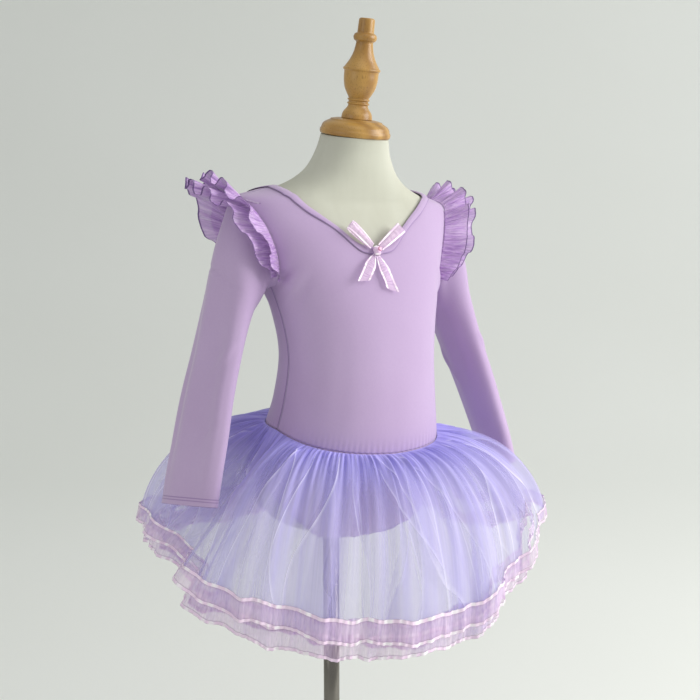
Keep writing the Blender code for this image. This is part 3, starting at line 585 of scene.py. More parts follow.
def smooth_between(values, place):
    """Read a Catmull-Rom curve through rows of values at a place counted in rows."""
    last = len(values) - 1
    index = int(min(max(math.floor(place), 0), last - 1))
    part = place - index
    before = values[max(index - 1, 0)]
    start = values[index]
    end = values[index + 1]
    after = values[min(index + 2, last)]
    linear = end - before
    square = 2 * before - 5 * start + 4 * end - after
    cube = 3 * start - before - 3 * end + after
    return start + 0.5 * part * (linear + part * (square + part * cube))


BODY_VALUES = np.array([tuple(row) for row in BODY])
LAST_PLACE = len(BODY) - 1.0
BODY_PLACES = np.linspace(0, LAST_PLACE, 1801)
BODY_CURVES = np.array([smooth_between(BODY_VALUES, place) for place in BODY_PLACES])


def place_of_height(height):
    return np.interp(height, BODY_CURVES[:, 0], BODY_PLACES)


def section_points(place, angle):
    columns = [np.interp(place, BODY_PLACES, BODY_CURVES[:, k]) for k in range(5)]
    height, half_width, side_y, front_y, back_y = columns
    across = np.cos(angle)
    along = np.sin(angle)
    reach = np.where(along > 0, back_y - side_y, side_y - front_y)
    x = half_width * np.sign(across) * np.abs(across) ** BODY_FULLNESS
    y = side_y + reach * np.sign(along) * np.abs(along) ** BODY_FULLNESS
    return np.stack(np.broadcast_arrays(x, y, height), axis=-1)


def full_turn(count):
    """Angles of a full turn in equal steps. It has no last one, which would be the first again."""
    return np.linspace(0, 2 * math.pi, count, endpoint=False)


def unit(vectors):
    return vectors / np.maximum(np.linalg.norm(vectors, axis=-1, keepdims=True), 1e-12)


def body_points(place, angle, out=0.0):
    """Points of the body surface, moved out along its normal."""
    turn = 0.03
    low = np.clip(place - 0.06, 0, LAST_PLACE)
    high = np.clip(place + 0.06, 0, LAST_PLACE)
    round_way = section_points(place, angle + turn) - section_points(place, angle - turn)
    up_way = section_points(high, angle) - section_points(low, angle)
    normal = unit(np.cross(round_way, up_way))
    return section_points(place, angle) + np.asarray(out)[..., None] * normal


def edge_heights(rows, off_centre):
    """The height of a neckline or waist seam, on a smooth curve through its rows."""
    values = np.array([tuple(row) for row in rows])
    curve = np.array([smooth_between(values, place) for place in np.linspace(0, len(rows) - 1, 121)])
    return np.interp(off_centre, curve[:, 0], curve[:, 1])


def waist_heights(angle):
    off_centre = 90 - np.degrees(np.arcsin(np.minimum(np.abs(np.sin(angle)), 1.0)))
    front = edge_heights(FRONT_WAIST, off_centre)
    return np.where(np.sin(angle) < 0, front, edge_heights(BACK_WAIST, off_centre))


def neck_heights(angle, front):
    if not front:
        return edge_heights(BACK_NECKLINE, np.abs(np.degrees(angle) - 90))
    off_centre = np.degrees(angle) - (270 - CENTRE_SHIFT)
    span = 90 + np.sign(off_centre) * CENTRE_SHIFT
    return edge_heights(FRONT_NECKLINE, np.abs(off_centre) * 90 / span)


def smooth_bell(distance, width):
    return np.exp(-((distance / width) ** 2))


def wobble(angle, seed):
    """A smooth uneven curve between about -1 and 1 that joins up after a full turn."""
    first = np.sin(2 * angle + 1.3 * seed) + 0.7 * np.sin(5 * angle + 2.1 * seed)
    return (first + 0.5 * np.sin(9 * angle + 0.7 * seed)) / 2.2


def add_object(name, data):
    made = bpy.data.objects.new(name, data)
    bpy.context.scene.collection.objects.link(made)
    return made


def smooth_mesh(name, shape):
    """A smooth-shaded mesh from a bmesh, which is freed."""
    for face in shape.faces:
        face.smooth = True
    mesh = bpy.data.meshes.new(name)
    shape.to_mesh(mesh)
    shape.free()
    return mesh


def cloth_piece(name, grid, material, closed=False, flip=False, wall=0.0, replaces=()):
    """A cloth piece through a grid of points, with its UV across the columns and up the rows."""
    rows, columns = grid.shape[:2]
    if closed:
        grid = np.concatenate((grid, grid[:, :1]), axis=1)
        columns += 1
    shape = bmesh.new()
    bmesh.ops.create_grid(shape, x_segments=columns - 1, y_segments=rows - 1, size=0.5, calc_uvs=False)
    mesh = bpy.data.meshes.new(name)
    shape.to_mesh(mesh)
    shape.free()
    flat = np.zeros(len(mesh.vertices) * 3)
    mesh.vertices.foreach_get("co", flat)
    flat = flat.reshape(-1, 3)
    column = np.rint((flat[:, 0] + 0.5) * (columns - 1)).astype(int)
    row = np.rint((flat[:, 1] + 0.5) * (rows - 1)).astype(int)
    points = grid[row, column]
    corners = np.zeros(len(mesh.loops), dtype=np.int32)
    mesh.loops.foreach_get("vertex_index", corners)
    layer = mesh.uv_layers.new(name="UVMap")
    spread = np.stack((column / (columns - 1), row / (rows - 1)), axis=1)
    layer.data.foreach_set("uv", spread[corners].astype(np.float32).ravel())
    mesh.vertices.foreach_set("co", points.astype(np.float32).ravel())
    shape = bmesh.new()
    shape.from_mesh(mesh)
    if closed:
        ends = [vertex for vertex in shape.verts if column[vertex.index] in (0, columns - 1)]
        bmesh.ops.remove_doubles(shape, verts=ends, dist=0.0000005)
    if flip:
        bmesh.ops.reverse_faces(shape, faces=shape.faces)
    for face in shape.faces:
        face.smooth = True
    shape.to_mesh(mesh)
    shape.free()
    mesh.transform(LEAN)
    mesh.update()
    return finished(name, mesh, material, replaces, wall)


def finished(name, mesh, material, replaces=(), wall=0.0):
    """Put a mesh in the scene as a piece of the object, in place of the nodes it stands for."""
    obj = add_object(name, mesh)
    mesh.materials.append(material)
    if wall:
        solidify = obj.modifiers.new("wall", "SOLIDIFY")
        solidify.thickness = wall
        solidify.offset = -1.0
    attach(obj, "root")
    if replaces:
        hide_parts(*replaces)
    return obj


def turned_piece(name, profile, material, replaces, matrix, steps=96):
    """A turned piece from a profile of radius and height, listed from the top down."""
    shape = bmesh.new()
    points = [shape.verts.new((radius, 0.0, height)) for radius, height in profile]
    edges = [shape.edges.new(pair) for pair in zip(points, points[1:])]
    bmesh.ops.spin(shape, geom=points + edges, cent=(0, 0, 0), axis=(0, 0, 1), angle=2 * math.pi, steps=steps,
                   use_merge=True)
    bmesh.ops.remove_doubles(shape, verts=shape.verts, dist=0.000001)
    bmesh.ops.recalc_face_normals(shape, faces=shape.faces)
    mesh = smooth_mesh(name, shape)
    mesh.transform(matrix)
    return finished(name, mesh, material, replaces)


def smooth_profile(profile, parts=5, sharp=()):
    """A turning profile with smooth curves through its points, and corners kept at the sharp ones."""
    values = np.array(profile)
    breaks = [0, *sharp, len(values) - 1]
    found = [values[0]]
    for start, end in zip(breaks, breaks[1:]):
        stretch = values[start:end + 1]
        if len(stretch) < 3:
            found.append(stretch[-1])
            continue
        for step in range(1, parts * (len(stretch) - 1) + 1):
            found.append(smooth_between(stretch, step / parts))
    return [(max(float(radius), 0.0), float(height)) for radius, height in found]


# Soft creases of the bodice and of the form's cover: the angle round the body and the height of each
# one's middle, how it leans from upright, its half length and half width, and how far it stands out or
# sinks in. Those by the armpits are mirrored.
BodyCrease = namedtuple("BodyCrease", "angle height lean length width depth")
ARMPIT_CREASES = (
    BodyCrease(196, 0.780, 62, 0.024, 0.0036, -0.0020), BodyCrease(203, 0.772, 56, 0.028, 0.0042, 0.0020),
    BodyCrease(206, 0.762, 48, 0.026, 0.0046, -0.0014), BodyCrease(164, 0.776, -50, 0.022, 0.0045, -0.0012),
    BodyCrease(157, 0.766, -46, 0.028, 0.0050, 0.0011), BodyCrease(201, 0.786, 74, 0.015, 0.0026, -0.0018),
    BodyCrease(204, 0.781, 66, 0.018, 0.0030, 0.0012),
)
BODY_CREASES = (
    *ARMPIT_CREASES,
    *(crease._replace(angle=540 - crease.angle, lean=-crease.lean) for crease in ARMPIT_CREASES),
    BodyCrease(262, 0.700, 3, 0.060, 0.0160, 0.0004), BodyCrease(290, 0.690, -4, 0.070, 0.0180, -0.0004),
    BodyCrease(232, 0.680, 6, 0.055, 0.0120, -0.0005), BodyCrease(90, 0.668, 0, 0.050, 0.0180, -0.0006),
    BodyCrease(70, 0.690, 68, 0.035, 0.0070, 0.0007), BodyCrease(110, 0.700, -64, 0.035, 0.0070, 0.0007),
    BodyCrease(86, 0.716, 82, 0.045, 0.0080, -0.0006), BodyCrease(250, 0.840, 40, 0.022, 0.0060, 0.0004),
)
FORM_WRINKLES = (
    BodyCrease(292, 0.868, 74, 0.020, 0.0022, 0.0007), BodyCrease(304, 0.863, 62, 0.022, 0.0026, -0.0006),
    BodyCrease(280, 0.858, 84, 0.026, 0.0030, 0.0005), BodyCrease(236, 0.866, -66, 0.022, 0.0028, 0.0005),
    BodyCrease(120, 0.880, 76, 0.024, 0.0030, -0.0006),
)
CREASE_RADIUS = 0.095
PUCKER_COUNT = 96
PUCKER_HEIGHT = 0.00035
PUCKER_REACH = 0.010
SIDE_ROWS = 60


def crease_push(creases, place, angle):
    """How far a set of soft creases stands off the plain body surface."""
    points = section_points(place, angle)
    push = np.zeros(points.shape[:-1])
    for crease in creases:
        round_way = (angle - math.radians(crease.angle) + math.pi) % (2 * math.pi) - math.pi
        aside = round_way * CREASE_RADIUS
        above = points[..., 2] - crease.height
        lean = math.radians(crease.lean)
        along = above * math.cos(lean) + aside * math.sin(lean)
        across = aside * math.cos(lean) - above * math.sin(lean)
        push += crease.depth * smooth_bell(across, crease.width) * smooth_bell(along, crease.length)
    return push


def bodice_push(place, angle):
    """The bodice's creases and the small puckers over its waist seam."""
    above_waist = section_points(place, angle)[..., 2] - waist_heights(angle)
    pucker = PUCKER_HEIGHT * np.sin(PUCKER_COUNT * angle + 2.5 * wobble(angle, 1.0))
    return crease_push(BODY_CREASES, place, angle) + pucker * smooth_bell(above_waist, PUCKER_REACH)


def armhole_places(turn):
    low = place_of_height(UNDERARM_HEIGHT)
    high = place_of_height(SHOULDER_TIP_HEIGHT)
    return low + (high - low) * (0.5 + 0.5 * np.sin(turn))


def armhole_points(turn, side, out=0.0, widen=0.0):
    """Points of the armhole's edge, widened or narrowed along the body surface."""
    scale = 1.0 + np.asarray(widen) / ARMHOLE_RADIUS
    middle = armhole_places(0.0)
    place = middle + scale * (armhole_places(turn) - middle)
    angle = math.pi + scale * ARMHOLE_OPEN * np.cos(turn)
    return body_points(place, angle, out) * np.array((-side, 1.0, 1.0))


def binding_places(place, angle):
    """The section rows that lie the binding's width below the neckline."""
    rate = np.linalg.norm(section_points(place, angle) - section_points(place - 0.1, angle), axis=-1) / 0.1
    return place - BINDING_WIDTH / rate


def bodice_grid(front, columns=176):
    """Places and angles of a panel's points, with its side edges laid exactly on the armholes."""
    first = math.pi if front else 0.0
    bottom = place_of_height(FRONT_WAIST[-1].height)
    neck = place_of_height(FRONT_NECKLINE[-1].height)
    top = binding_places(np.array(neck), np.array(math.pi))
    side_places = np.linspace(bottom, place_of_height(UNDERARM_HEIGHT), SIDE_ROWS)
    turns = np.linspace(-math.pi / 2, math.pi / 2, 44)
    hole_places = armhole_places(turns)
    top_places = np.linspace(hole_places[-1], top, 10)[1:]
    places = np.concatenate((side_places, hole_places[1:], top_places))
    opens = np.concatenate((np.zeros(SIDE_ROWS), ARMHOLE_OPEN * np.cos(turns[1:]), np.zeros(9)))
    share = np.linspace(0, 1, columns + 1)[None, :]
    angle = first + opens[:, None] + share * (math.pi - 2 * opens[:, None])
    low = place_of_height(waist_heights(angle))
    high = place_of_height(neck_heights(angle, front))
    edge = binding_places(high, angle)
    reach = (places[:, None] - bottom) / (top - bottom)
    here = low + reach * (edge - low)
    for end in (0, -1):
        off_edge = share if end == 0 else 1 - share
        here = here + (places - here[:, end])[:, None] * smooth_bell(off_edge, 0.14)
    here[-1] = edge[-1]
    here = np.concatenate((here, high[-1:]), axis=0)
    angle = np.concatenate((angle, angle[-1:]), axis=0)
    return here, angle


PANEL_WALL = 0.0010
SLEEVE_WALL = 0.0011


def make_bodice():
    for name, front in (("bodice_front", True), ("bodice_back", False)):
        place, angle = bodice_grid(front)
        grid = body_points(place, angle, bodice_push(place, angle))
        lines = (("column", 0.0, 0.008), ("column", 1.0, 0.008))
        material = jersey_material("jersey_" + name, edge_lines=lines)
        panel = cloth_piece(name + "_cloth", grid, material, wall=PANEL_WALL, replaces=(name,))


def binding_halves(count):
    """The back and the front half of the neckline: angles, and the binding's lower and upper places."""
    for front, first in ((False, 0.0), (True, math.pi)):
        angle = first + np.linspace(0, math.pi, count, endpoint=False)
        neck = place_of_height(neck_heights(angle, front))
        yield angle, binding_places(neck, angle), neck


def make_binding():
    """The folded strip round the neck: rounded over its edge, rolled in, with a stitched lower edge."""
    rings = []
    for angle, low, neck in binding_halves(160):
        rows = []
        steps = 9
        for step in range(steps + 1):
            share = step / steps
            swell = BINDING_SEAT + JERSEY * math.sin(math.pi * min(share + 0.14, 1.0)) ** 0.5
            place = low + share * (1 + BINDING_OVER_EDGE) * (neck - low)
            rows.append(body_points(place, angle, swell))
        rolled = low + (1 + BINDING_OVER_EDGE) * (neck - low)
        rows.append(body_points(rolled, angle, -JERSEY * 0.6))
        rings.append(np.array(rows))
    grid = np.concatenate(rings, axis=1)
    material = jersey_material("jersey_binding", edge_lines=(("row", 0.0, 0.14),))
    binding = cloth_piece("neck_binding_cloth", grid, material, closed=True, replaces=("neck_binding",))


def brief_grid(front, columns=90):
    middle = 1.5 * math.pi if front else 0.5 * math.pi
    side = 1.0 if front else -1.0
    table = BRIEF_FRONT if front else BRIEF_BACK
    share = np.linspace(0, 1, columns + 1)
    waist_angle = middle + side * np.radians(-90 + 180 * share)
    lines = [np.stack((place_of_height(waist_heights(waist_angle)), waist_angle), axis=-1)]
    for row in table:
        off = -row.right_reach + share * (row.left_reach + row.right_reach)
        angle = middle + side * np.radians(off)
        lines.append(np.stack((np.full(columns + 1, place_of_height(row.height)), angle), axis=-1))
    lines = np.array(lines)
    parts = 8
    fine = np.array([smooth_between(lines, step / parts) for step in range(parts * (len(lines) - 1) + 1)])
    place, angle = np.clip(fine[..., 0], 0, LAST_PLACE), fine[..., 1]
    down = np.linspace(0, 1, len(fine))[:, None]
    off_edge = np.minimum(share, 1 - share)[None, :]
    ruched = smooth_bell(off_edge, 0.05) * np.clip(down * 3 - 0.8, 0, 1)
    ripple = 0.0010 * ruched * np.sin(down * 150 + 4 * np.sin(down * 37))
    points = body_points(place, angle, ripple)
    seam_y = CROTCH_SEAM_Y - side * SEAM_GAP
    seam_x = STRAP_RIGHT_X + share * (STRAP_LEFT_X - STRAP_RIGHT_X)
    seam = np.stack(np.broadcast_arrays(seam_x, seam_y, STRAP_LEVEL), axis=-1)
    points[-1, :, 2] = STRAP_LEVEL
    under = [points[-1] + step / 8 * (seam - points[-1]) for step in range(1, 9)]
    return np.concatenate((points, np.array(under)), axis=0)[::-1]


def make_brief():
    for name, front in (("brief_front", True), ("brief_back", False)):
        lines = (("column", 0.0, 0.10), ("column", 1.0, 0.10))
        # Painted shade: the brief, under the skirt, is darkened as a whole.
        material = jersey_material("jersey_" + name, painted_shade_tone=0.86, edge_lines=lines)
        grid = brief_grid(front)
        piece = cloth_piece(name + "_cloth", grid, material, flip=not front, wall=PANEL_WALL,
                            replaces=(name,))


# Soft folds down a sleeve: the turn round it where each starts and ends, the stretch that it runs,
# its half width and how far it sinks in or stands out. The turn starts at the front edge and goes
# over the outer face.
SleeveFold = namedtuple("SleeveFold", "start_turn end_turn start end width depth")
SLEEVE_FOLDS = (
    SleeveFold(58, 70, 0.10, 0.98, 24, -0.0034), SleeveFold(98, 112, 0.06, 0.80, 15, 0.0022),
    SleeveFold(30, 44, 0.26, 0.95, 12, 0.0018), SleeveFold(122, 138, 0.24, 1.00, 13, -0.0018),
    SleeveFold(160, 150, 0.20, 0.75, 14, 0.0012), SleeveFold(232, 246, 0.15, 0.90, 20, -0.0016),
    SleeveFold(290, 276, 0.10, 0.70, 16, -0.0014), SleeveFold(16, 84, 0.40, 0.56, 11, 0.0019),
    SleeveFold(330, 300, 0.06, 0.26, 12, 0.0022), SleeveFold(40, 80, 0.66, 0.76, 10, -0.0015),
    SleeveFold(350, 20, 0.10, 0.24, 10, -0.0020), SleeveFold(200, 262, 0.44, 0.58, 11, 0.0018),
)


def sleeve_grid(table, side, columns=100, parts=20):
    turn = full_turn(columns)
    mirror = np.array((-side, 1.0, 1.0))
    rings = [armhole_points(turn, side, SLEEVE_HEAD_OUT, SLEEVE_HEAD_TUCK)]
    ways = [unit(rings[0] - rings[0].mean(0))]
    for number, row in enumerate(table):
        tilt = math.radians(row.tilt)
        turn_in = math.radians(row.turn)
        forward = SLEEVE_FORWARD * min(number / 2, 1.0)
        front = np.array((math.sin(turn_in), -math.cos(turn_in), math.tan(forward)))
        flat_out = np.array((-math.cos(turn_in), -math.sin(turn_in), 0.0))
        outer = math.cos(tilt) * flat_out + math.sin(tilt) * np.array((0.0, 0.0, 1.0))
        centre = np.array((-row.reach, row.y, row.height))
        ring = centre + row.half_width * np.cos(turn)[:, None] * front
        ring = ring + row.half_depth * np.sin(turn)[:, None] * outer
        way = np.cos(turn)[:, None] / row.half_width * front + np.sin(turn)[:, None] / row.half_depth * outer
        rings.append(ring * mirror)
        ways.append(unit(way) * mirror)
    rings = np.array(rings)
    ways = np.array(ways)
    last = len(rings) - 1
    places = np.linspace(0, last, parts * last + 1)
    grid = np.array([smooth_between(rings, place) for place in places])
    out = unit(np.array([smooth_between(ways, place) for place in places]))
    down = (places / last)[:, None]
    push = np.zeros((len(places), columns))
    degrees = np.degrees(turn)[None, :]
    for fold in SLEEVE_FOLDS:
        part = np.clip((down - fold.start) / (fold.end - fold.start), 0, 1)
        middle = fold.start_turn + part * (fold.end_turn - fold.start_turn)
        off = (degrees - middle + 180) % 360 - 180
        push += fold.depth * smooth_bell(off, fold.width) * np.sin(math.pi * part) ** 0.7
    gathers = np.sin(34 * turn + 1.5 * np.sin(3 * turn))[None, :] * 0.0005 * smooth_bell(down, 0.035)
    hem_line = -0.00035 * smooth_bell(down - 0.958, 0.004)
    return grid + (push + gathers + hem_line)[..., None] * out, out


def make_sleeves():
    stitches = []
    for name, table, side in (("sleeve_right", RIGHT_SLEEVE, -1.0), ("sleeve_left", LEFT_SLEEVE, 1.0)):
        grid, out = sleeve_grid(table, side)
        lines = (("row", 0.957, 0.004), ("row", 0.970, 0.004), ("row", 1.0, 0.004))
        material = jersey_material("jersey_" + name, edge_lines=lines)
        sleeve = cloth_piece(name + "_cloth", grid, material, closed=True, flip=side < 0, wall=SLEEVE_WALL,
                             replaces=(name,))
        last = len(grid) - 1
        for share in (0.956, 0.966):
            place = share * last
            ring = smooth_between(grid, place) + 0.00022 * smooth_between(out, place)
            stitches.append(np.concatenate((ring, ring[:1])))
    return stitches


def make_stitches(name, lines, length=0.0022, gap=0.0008, width=0.00032):
    """Rows of machine stitches: small spindles of thread end to end along each line."""
    shape = bmesh.new()
    for line in lines:
        steps = np.linalg.norm(np.diff(line, axis=0), axis=1)
        far = np.concatenate(([0.0], np.cumsum(steps)))
        count = int(far[-1] / (length + gap))
        for number in range(count):
            start = (number + 0.15) * far[-1] / count
            first, last = (np.array([np.interp(at, far, line[:, k]) for k in range(3)])
                           for at in (start, start + length))
            middle = (first + last) / 2
            way = Vector(last - first)
            turn = way.to_track_quat("X", "Z").to_matrix().to_4x4()
            size = Matrix.Diagonal((length / 2, width / 2, width / 2, 1.0))
            place = Matrix.Translation(Vector(middle)) @ turn @ size
            bmesh.ops.create_icosphere(shape, subdivisions=1, radius=1.0, matrix=place)
    mesh = bpy.data.meshes.new(name)
    shape.to_mesh(mesh)
    shape.free()
    mesh.transform(LEAN)
    return finished(name, mesh, MATERIAL["thread"])


def neck_stitch_line():
    lines = []
    for angle, low, neck in binding_halves(120):
        lines.append(body_points(low + 0.16 * (neck - low), angle, BINDING_SEAT + JERSEY * 0.85))
    ring = np.concatenate(lines)
    return np.concatenate((ring, ring[:1]))


def hem_at(direction):
    """The hem's reach, height and puff at a direction in degrees, read smoothly round the skirt."""
    starts = [row.direction for row in HEM]
    index = max(step for step, start in enumerate(starts) if start <= direction % 360)
    following = starts[index + 1] if index + 1 < len(starts) else 360
    part = (direction % 360 - starts[index]) / (following - starts[index])
    ring = [HEM[(index + step) % len(HEM)] for step in (-1, 0, 1, 2)]
    values = np.array([(row.reach, row.height, row.puff) for row in ring])
    return smooth_between(values, 1 + part)


def skirt_master(shares, columns):
    """The outermost layer without its waves: rows from the waist to the hem."""
    angle = full_turn(columns)
    start = body_points(place_of_height(waist_heights(angle)), angle, WAIST_SEAT)
    start[:, 2] -= SEAM_GAP
    way = np.arctan2(start[:, 1] - SKIRT_CENTRE[1], start[:, 0] - SKIRT_CENTRE[0])
    values = np.array([hem_at(math.degrees(turn)) for turn in way])
    puff = np.clip(values[:, 2], 0, 1)
    turn = FLAT_TURN + (PUFF_TURN - FLAT_TURN) * puff
    end_x = SKIRT_CENTRE[0] + values[:, 0] * np.cos(way)
    end_y = SKIRT_CENTRE[1] + values[:, 0] * np.sin(way)
    end = np.stack((end_x, end_y, values[:, 1]), axis=-1)
    share = np.asarray(shares)[:, None]
    out_share = np.sin(turn * share) / np.sin(turn)
    puffed = (1 - np.cos(turn * share)) / (1 - np.cos(turn))
    down_share = puffed + (1 - puff) * (share - puffed)
    shares3 = np.stack((out_share, out_share, down_share), axis=-1)
    return start + (end - start) * shares3, angle


def grid_normals(grid):
    """Outward unit normals of a closed grid whose rows run down from the waist."""
    across = np.roll(grid, -1, axis=1) - np.roll(grid, 1, axis=1)
    down = np.gradient(grid, axis=0)
    return unit(np.cross(down, across))


def skirt_waves(layer, angle):
    """How far a layer's flutes stand out at an angle: a wave it shares and one of its own."""
    drift = 0.45 * np.sin(2 * angle + 0.7) + 0.3 * np.sin(3 * angle + 2.0)
    shared = np.sin(SKIRT_WAVES * angle + drift)
    own = np.sin(SKIRT_WAVES * angle + drift + 1.6 + layer.phase)
    strength = 0.82 + 0.18 * np.sin(5 * angle + 1.0)
    return WAVE_HEIGHT * strength * ((1 - WAVE_OWN_SHARE) * shared + WAVE_OWN_SHARE * own)


def fine_waves(layer, angle, share):
    """The gathers under the waist seam and the narrow folds that they open into."""
    push = np.zeros((len(share), len(angle)))
    for number, wave in enumerate(SKIRT_FINE_WAVES):
        rise = np.clip((share - wave.start) / (wave.peak - wave.start), 0, 1)
        fall = np.clip((wave.end - share) / (wave.end - wave.peak), 0, 1)
        size = (np.minimum(rise, fall) ** 0.8)[:, None]
        seed = layer.phase + number + 0.5
        slant = 0.25 * share[:, None] * wobble(angle, seed)[None, :]
        drift = wave.drift * wobble(angle[None, :] + slant, seed)
        uneven = 0.6 + 0.4 * wobble(3 * angle, seed + 2.0)[None, :]
        push += wave.height * size * uneven * np.sin(wave.count * angle[None, :] + drift)
    return push


def skirt_layer_points(layer, shares, columns):
    """A layer's points, its outward normals and the angles of its columns."""
    master, angle = skirt_master(shares, columns)
    normals = grid_normals(master)
    share = np.asarray(shares)
    inward = LAYER_GAP_AT_WAIST + (LAYER_GAP_AT_HEM - LAYER_GAP_AT_WAIST) * share
    flutes = skirt_waves(layer, angle)[None, :] * share[:, None] ** WAVE_GROWTH
    push = flutes - (layer.order * inward)[:, None]
    push += fine_waves(layer, angle, share)
    grid = master + push[..., None] * normals
    uneven = HEM_UNEVEN * wobble(2 * angle, layer.phase + 1.7)
    grid[..., 2] -= (layer.drop + uneven)[None, :] * share[:, None] ** 2
    waist = waist_heights(angle) - layer.order * LAYER_STEP_AT_WAIST
    first = body_points(place_of_height(waist), angle, WAIST_SEAT)
    first[:, 2] -= SEAM_GAP
    blend = (1 - np.clip(share / WAIST_BLEND, 0, 1))[:, None, None]
    return grid + blend * (first[None] - grid), normals, angle


def make_skirt():
    shares = np.linspace(0, 1, SKIRT_ROWS) ** 1.25
    for layer in LAYERS:
        grid = skirt_layer_points(layer, shares, SKIRT_COLUMNS)[0]
        name = "skirt_" + layer.name
        density = TULLE_DENSITY - 0.02 * layer.order
        material = tulle_material("tulle_" + layer.name, density, 13.0 * layer.order)
        skirt = cloth_piece(name + "_tulle", grid[::-1], material, closed=True,
                            replaces=(name,))
        make_hem_ribbon(layer)


def make_hem_ribbon(layer):
    """A sheer ribbon with satin edges sewn along a layer's hem, pleated a little as it goes round."""
    full = np.linspace(0.80, 1.0, 22)
    outer, normals, angle = skirt_layer_points(layer, full, RIBBON_COLUMNS)
    steps = np.linalg.norm(np.diff(outer, axis=0), axis=-1).mean(axis=1)
    lengths = np.concatenate(([0.0], np.cumsum(steps)))
    rows = 12
    wanted = lengths[-1] - RIBBON_WIDTH + RIBBON_BELOW_HEM + np.linspace(0, RIBBON_WIDTH, rows)
    places = np.interp(np.minimum(wanted, lengths[-1]), lengths, np.arange(len(full)))
    grid = np.array([smooth_between(outer, place) for place in places])
    way = np.array([smooth_between(normals, place) for place in places])
    below = np.maximum(wanted - lengths[-1], 0)[:, None, None]
    grid = grid + below * unit(outer[-1] - outer[-3])[None]
    across = np.linspace(0, 1, rows)[:, None]
    seed = layer.phase + 3.0
    pleat = np.sin(RIBBON_PLEATS * angle + 3.0 * wobble(angle, seed))
    pleat = np.sign(pleat) * np.abs(pleat) ** 0.6
    small = np.sin(RIBBON_PLEATS * 2.7 * angle + 4.0 * wobble(angle, seed + 1.0))
    swing = 0.55 + 0.45 * wobble(2 * angle, seed + 2.0)
    spread = 0.35 + 0.65 * np.abs(2 * across - 0.7)
    push = RIBBON_PLEAT_HEIGHT * (pleat * swing + 0.35 * small)[None, :] * spread + RIBBON_OUT
    edge_lift = RIBBON_EDGE_LIFT * np.sin(RIBBON_PLEATS * 0.5 * angle + 2.0 * wobble(angle, seed + 4.0))
    grid = grid + push[..., None] * way
    grid[..., 2] += edge_lift[None, :]
    name = "hem_ribbon_" + layer.name
    return cloth_piece(name + "_organza", grid[::-1], MATERIAL["hem_ribbon"], closed=True,
                       replaces=(name,))


def ruffle_grid(tier, side):
    """One tier, rows from its seam in the armhole to its free edge, columns front to back."""
    share = np.linspace(0, 1, RUFFLE_COLUMNS + 1)
    turn = RUFFLE_START + share * (RUFFLE_END - RUFFLE_START)
    middle = armhole_points(np.array(math.pi / 2), side)
    middle[2] = 0.5 * (UNDERARM_HEIGHT + SHOULDER_TIP_HEIGHT)
    seam = armhole_points(turn, side, RUFFLE_SEAT + RUFFLE_TIER_OUT * tier.seat, RUFFLE_SEAT + tier.seat)
    radial = seam - middle
    radial[:, 0] = 0.0
    radial[:, 2] = np.maximum(radial[:, 2], 0.0)
    radial = unit(radial)
    outward = np.array((side, 0.0, 0.0))
    shares = [row.share for row in RUFFLE]
    places = np.interp(share, shares, np.arange(len(RUFFLE)))
    table = np.array([tuple(row) for row in RUFFLE])
    values = np.array([smooth_between(table, place) for place in places])
    width = tier.width_share * values[:, 1]
    lift = np.radians(tier.lift + values[:, 2])
    along = np.cos(lift)[:, None] * outward + np.sin(lift)[:, None] * radial
    across = -np.sin(lift)[:, None] * outward + np.cos(lift)[:, None] * radial
    drift = 0.5 * np.sin(2 * math.pi * share + 0.6)
    shared = np.sin(2 * math.pi * RUFFLE_WAVES * share + drift)
    own = np.sin(2 * math.pi * RUFFLE_WAVES * share + drift + tier.phase)
    fullness = 0.4 + 0.6 * np.sin(math.pi * share)
    wave = RUFFLE_WAVE_HEIGHT * (1 + 1.25 * shared + 0.3 * own) * fullness
    sway = -RUFFLE_SWAY * np.sin(2 * (2 * math.pi * RUFFLE_WAVES * share + drift)) * fullness
    small = np.sin(2 * math.pi * 33 * share + 3.0 * wobble(4 * share, tier.phase))
    tiny = np.sin(2 * math.pi * 71 * share + 4.0 * wobble(5 * share, tier.phase + 2.0))
    rows = np.linspace(0, 1, RUFFLE_ROWS)[:, None]
    push = wave * rows ** 1.2 + 0.0013 * small * rows ** 0.7 * (1.15 - rows) * 1.6
    push = push + 0.0007 * tiny * np.clip(rows * 6, 0, 1) * (1 - 0.75 * rows)
    along_seam = unit(np.gradient(seam, axis=0))
    reach = width * rows * (1 + 0.03 * wobble(6 * share, tier.phase + 5.0))
    grid = seam + along * reach[..., None] + across * push[..., None]
    return grid + along_seam * (sway * rows ** 1.5)[..., None]


def make_ruffles():
    for side, side_name in ((-1.0, "right"), (1.0, "left")):
        for tier in TIERS:
            name = "ruffle_" + side_name + "_" + tier.name
            grid = ruffle_grid(tier, side)
            ruffle = cloth_piece(name + "_organza", grid, MATERIAL["ruffle"], flip=side < 0,
                                 replaces=(name,))


def bow_frame():
    place = place_of_height(BOW_HEIGHT)
    angle = math.radians(270 - CENTRE_SHIFT)
    centre, above, below = (body_points(np.array(place + step), np.array(angle)) for step in (0.0, 0.2, -0.2))
    up = above - below
    up[0] = 0.0
    up = unit(up)
    across = np.array((1.0, 0.0, 0.0))
    return centre, across, up, np.cross(across, up)


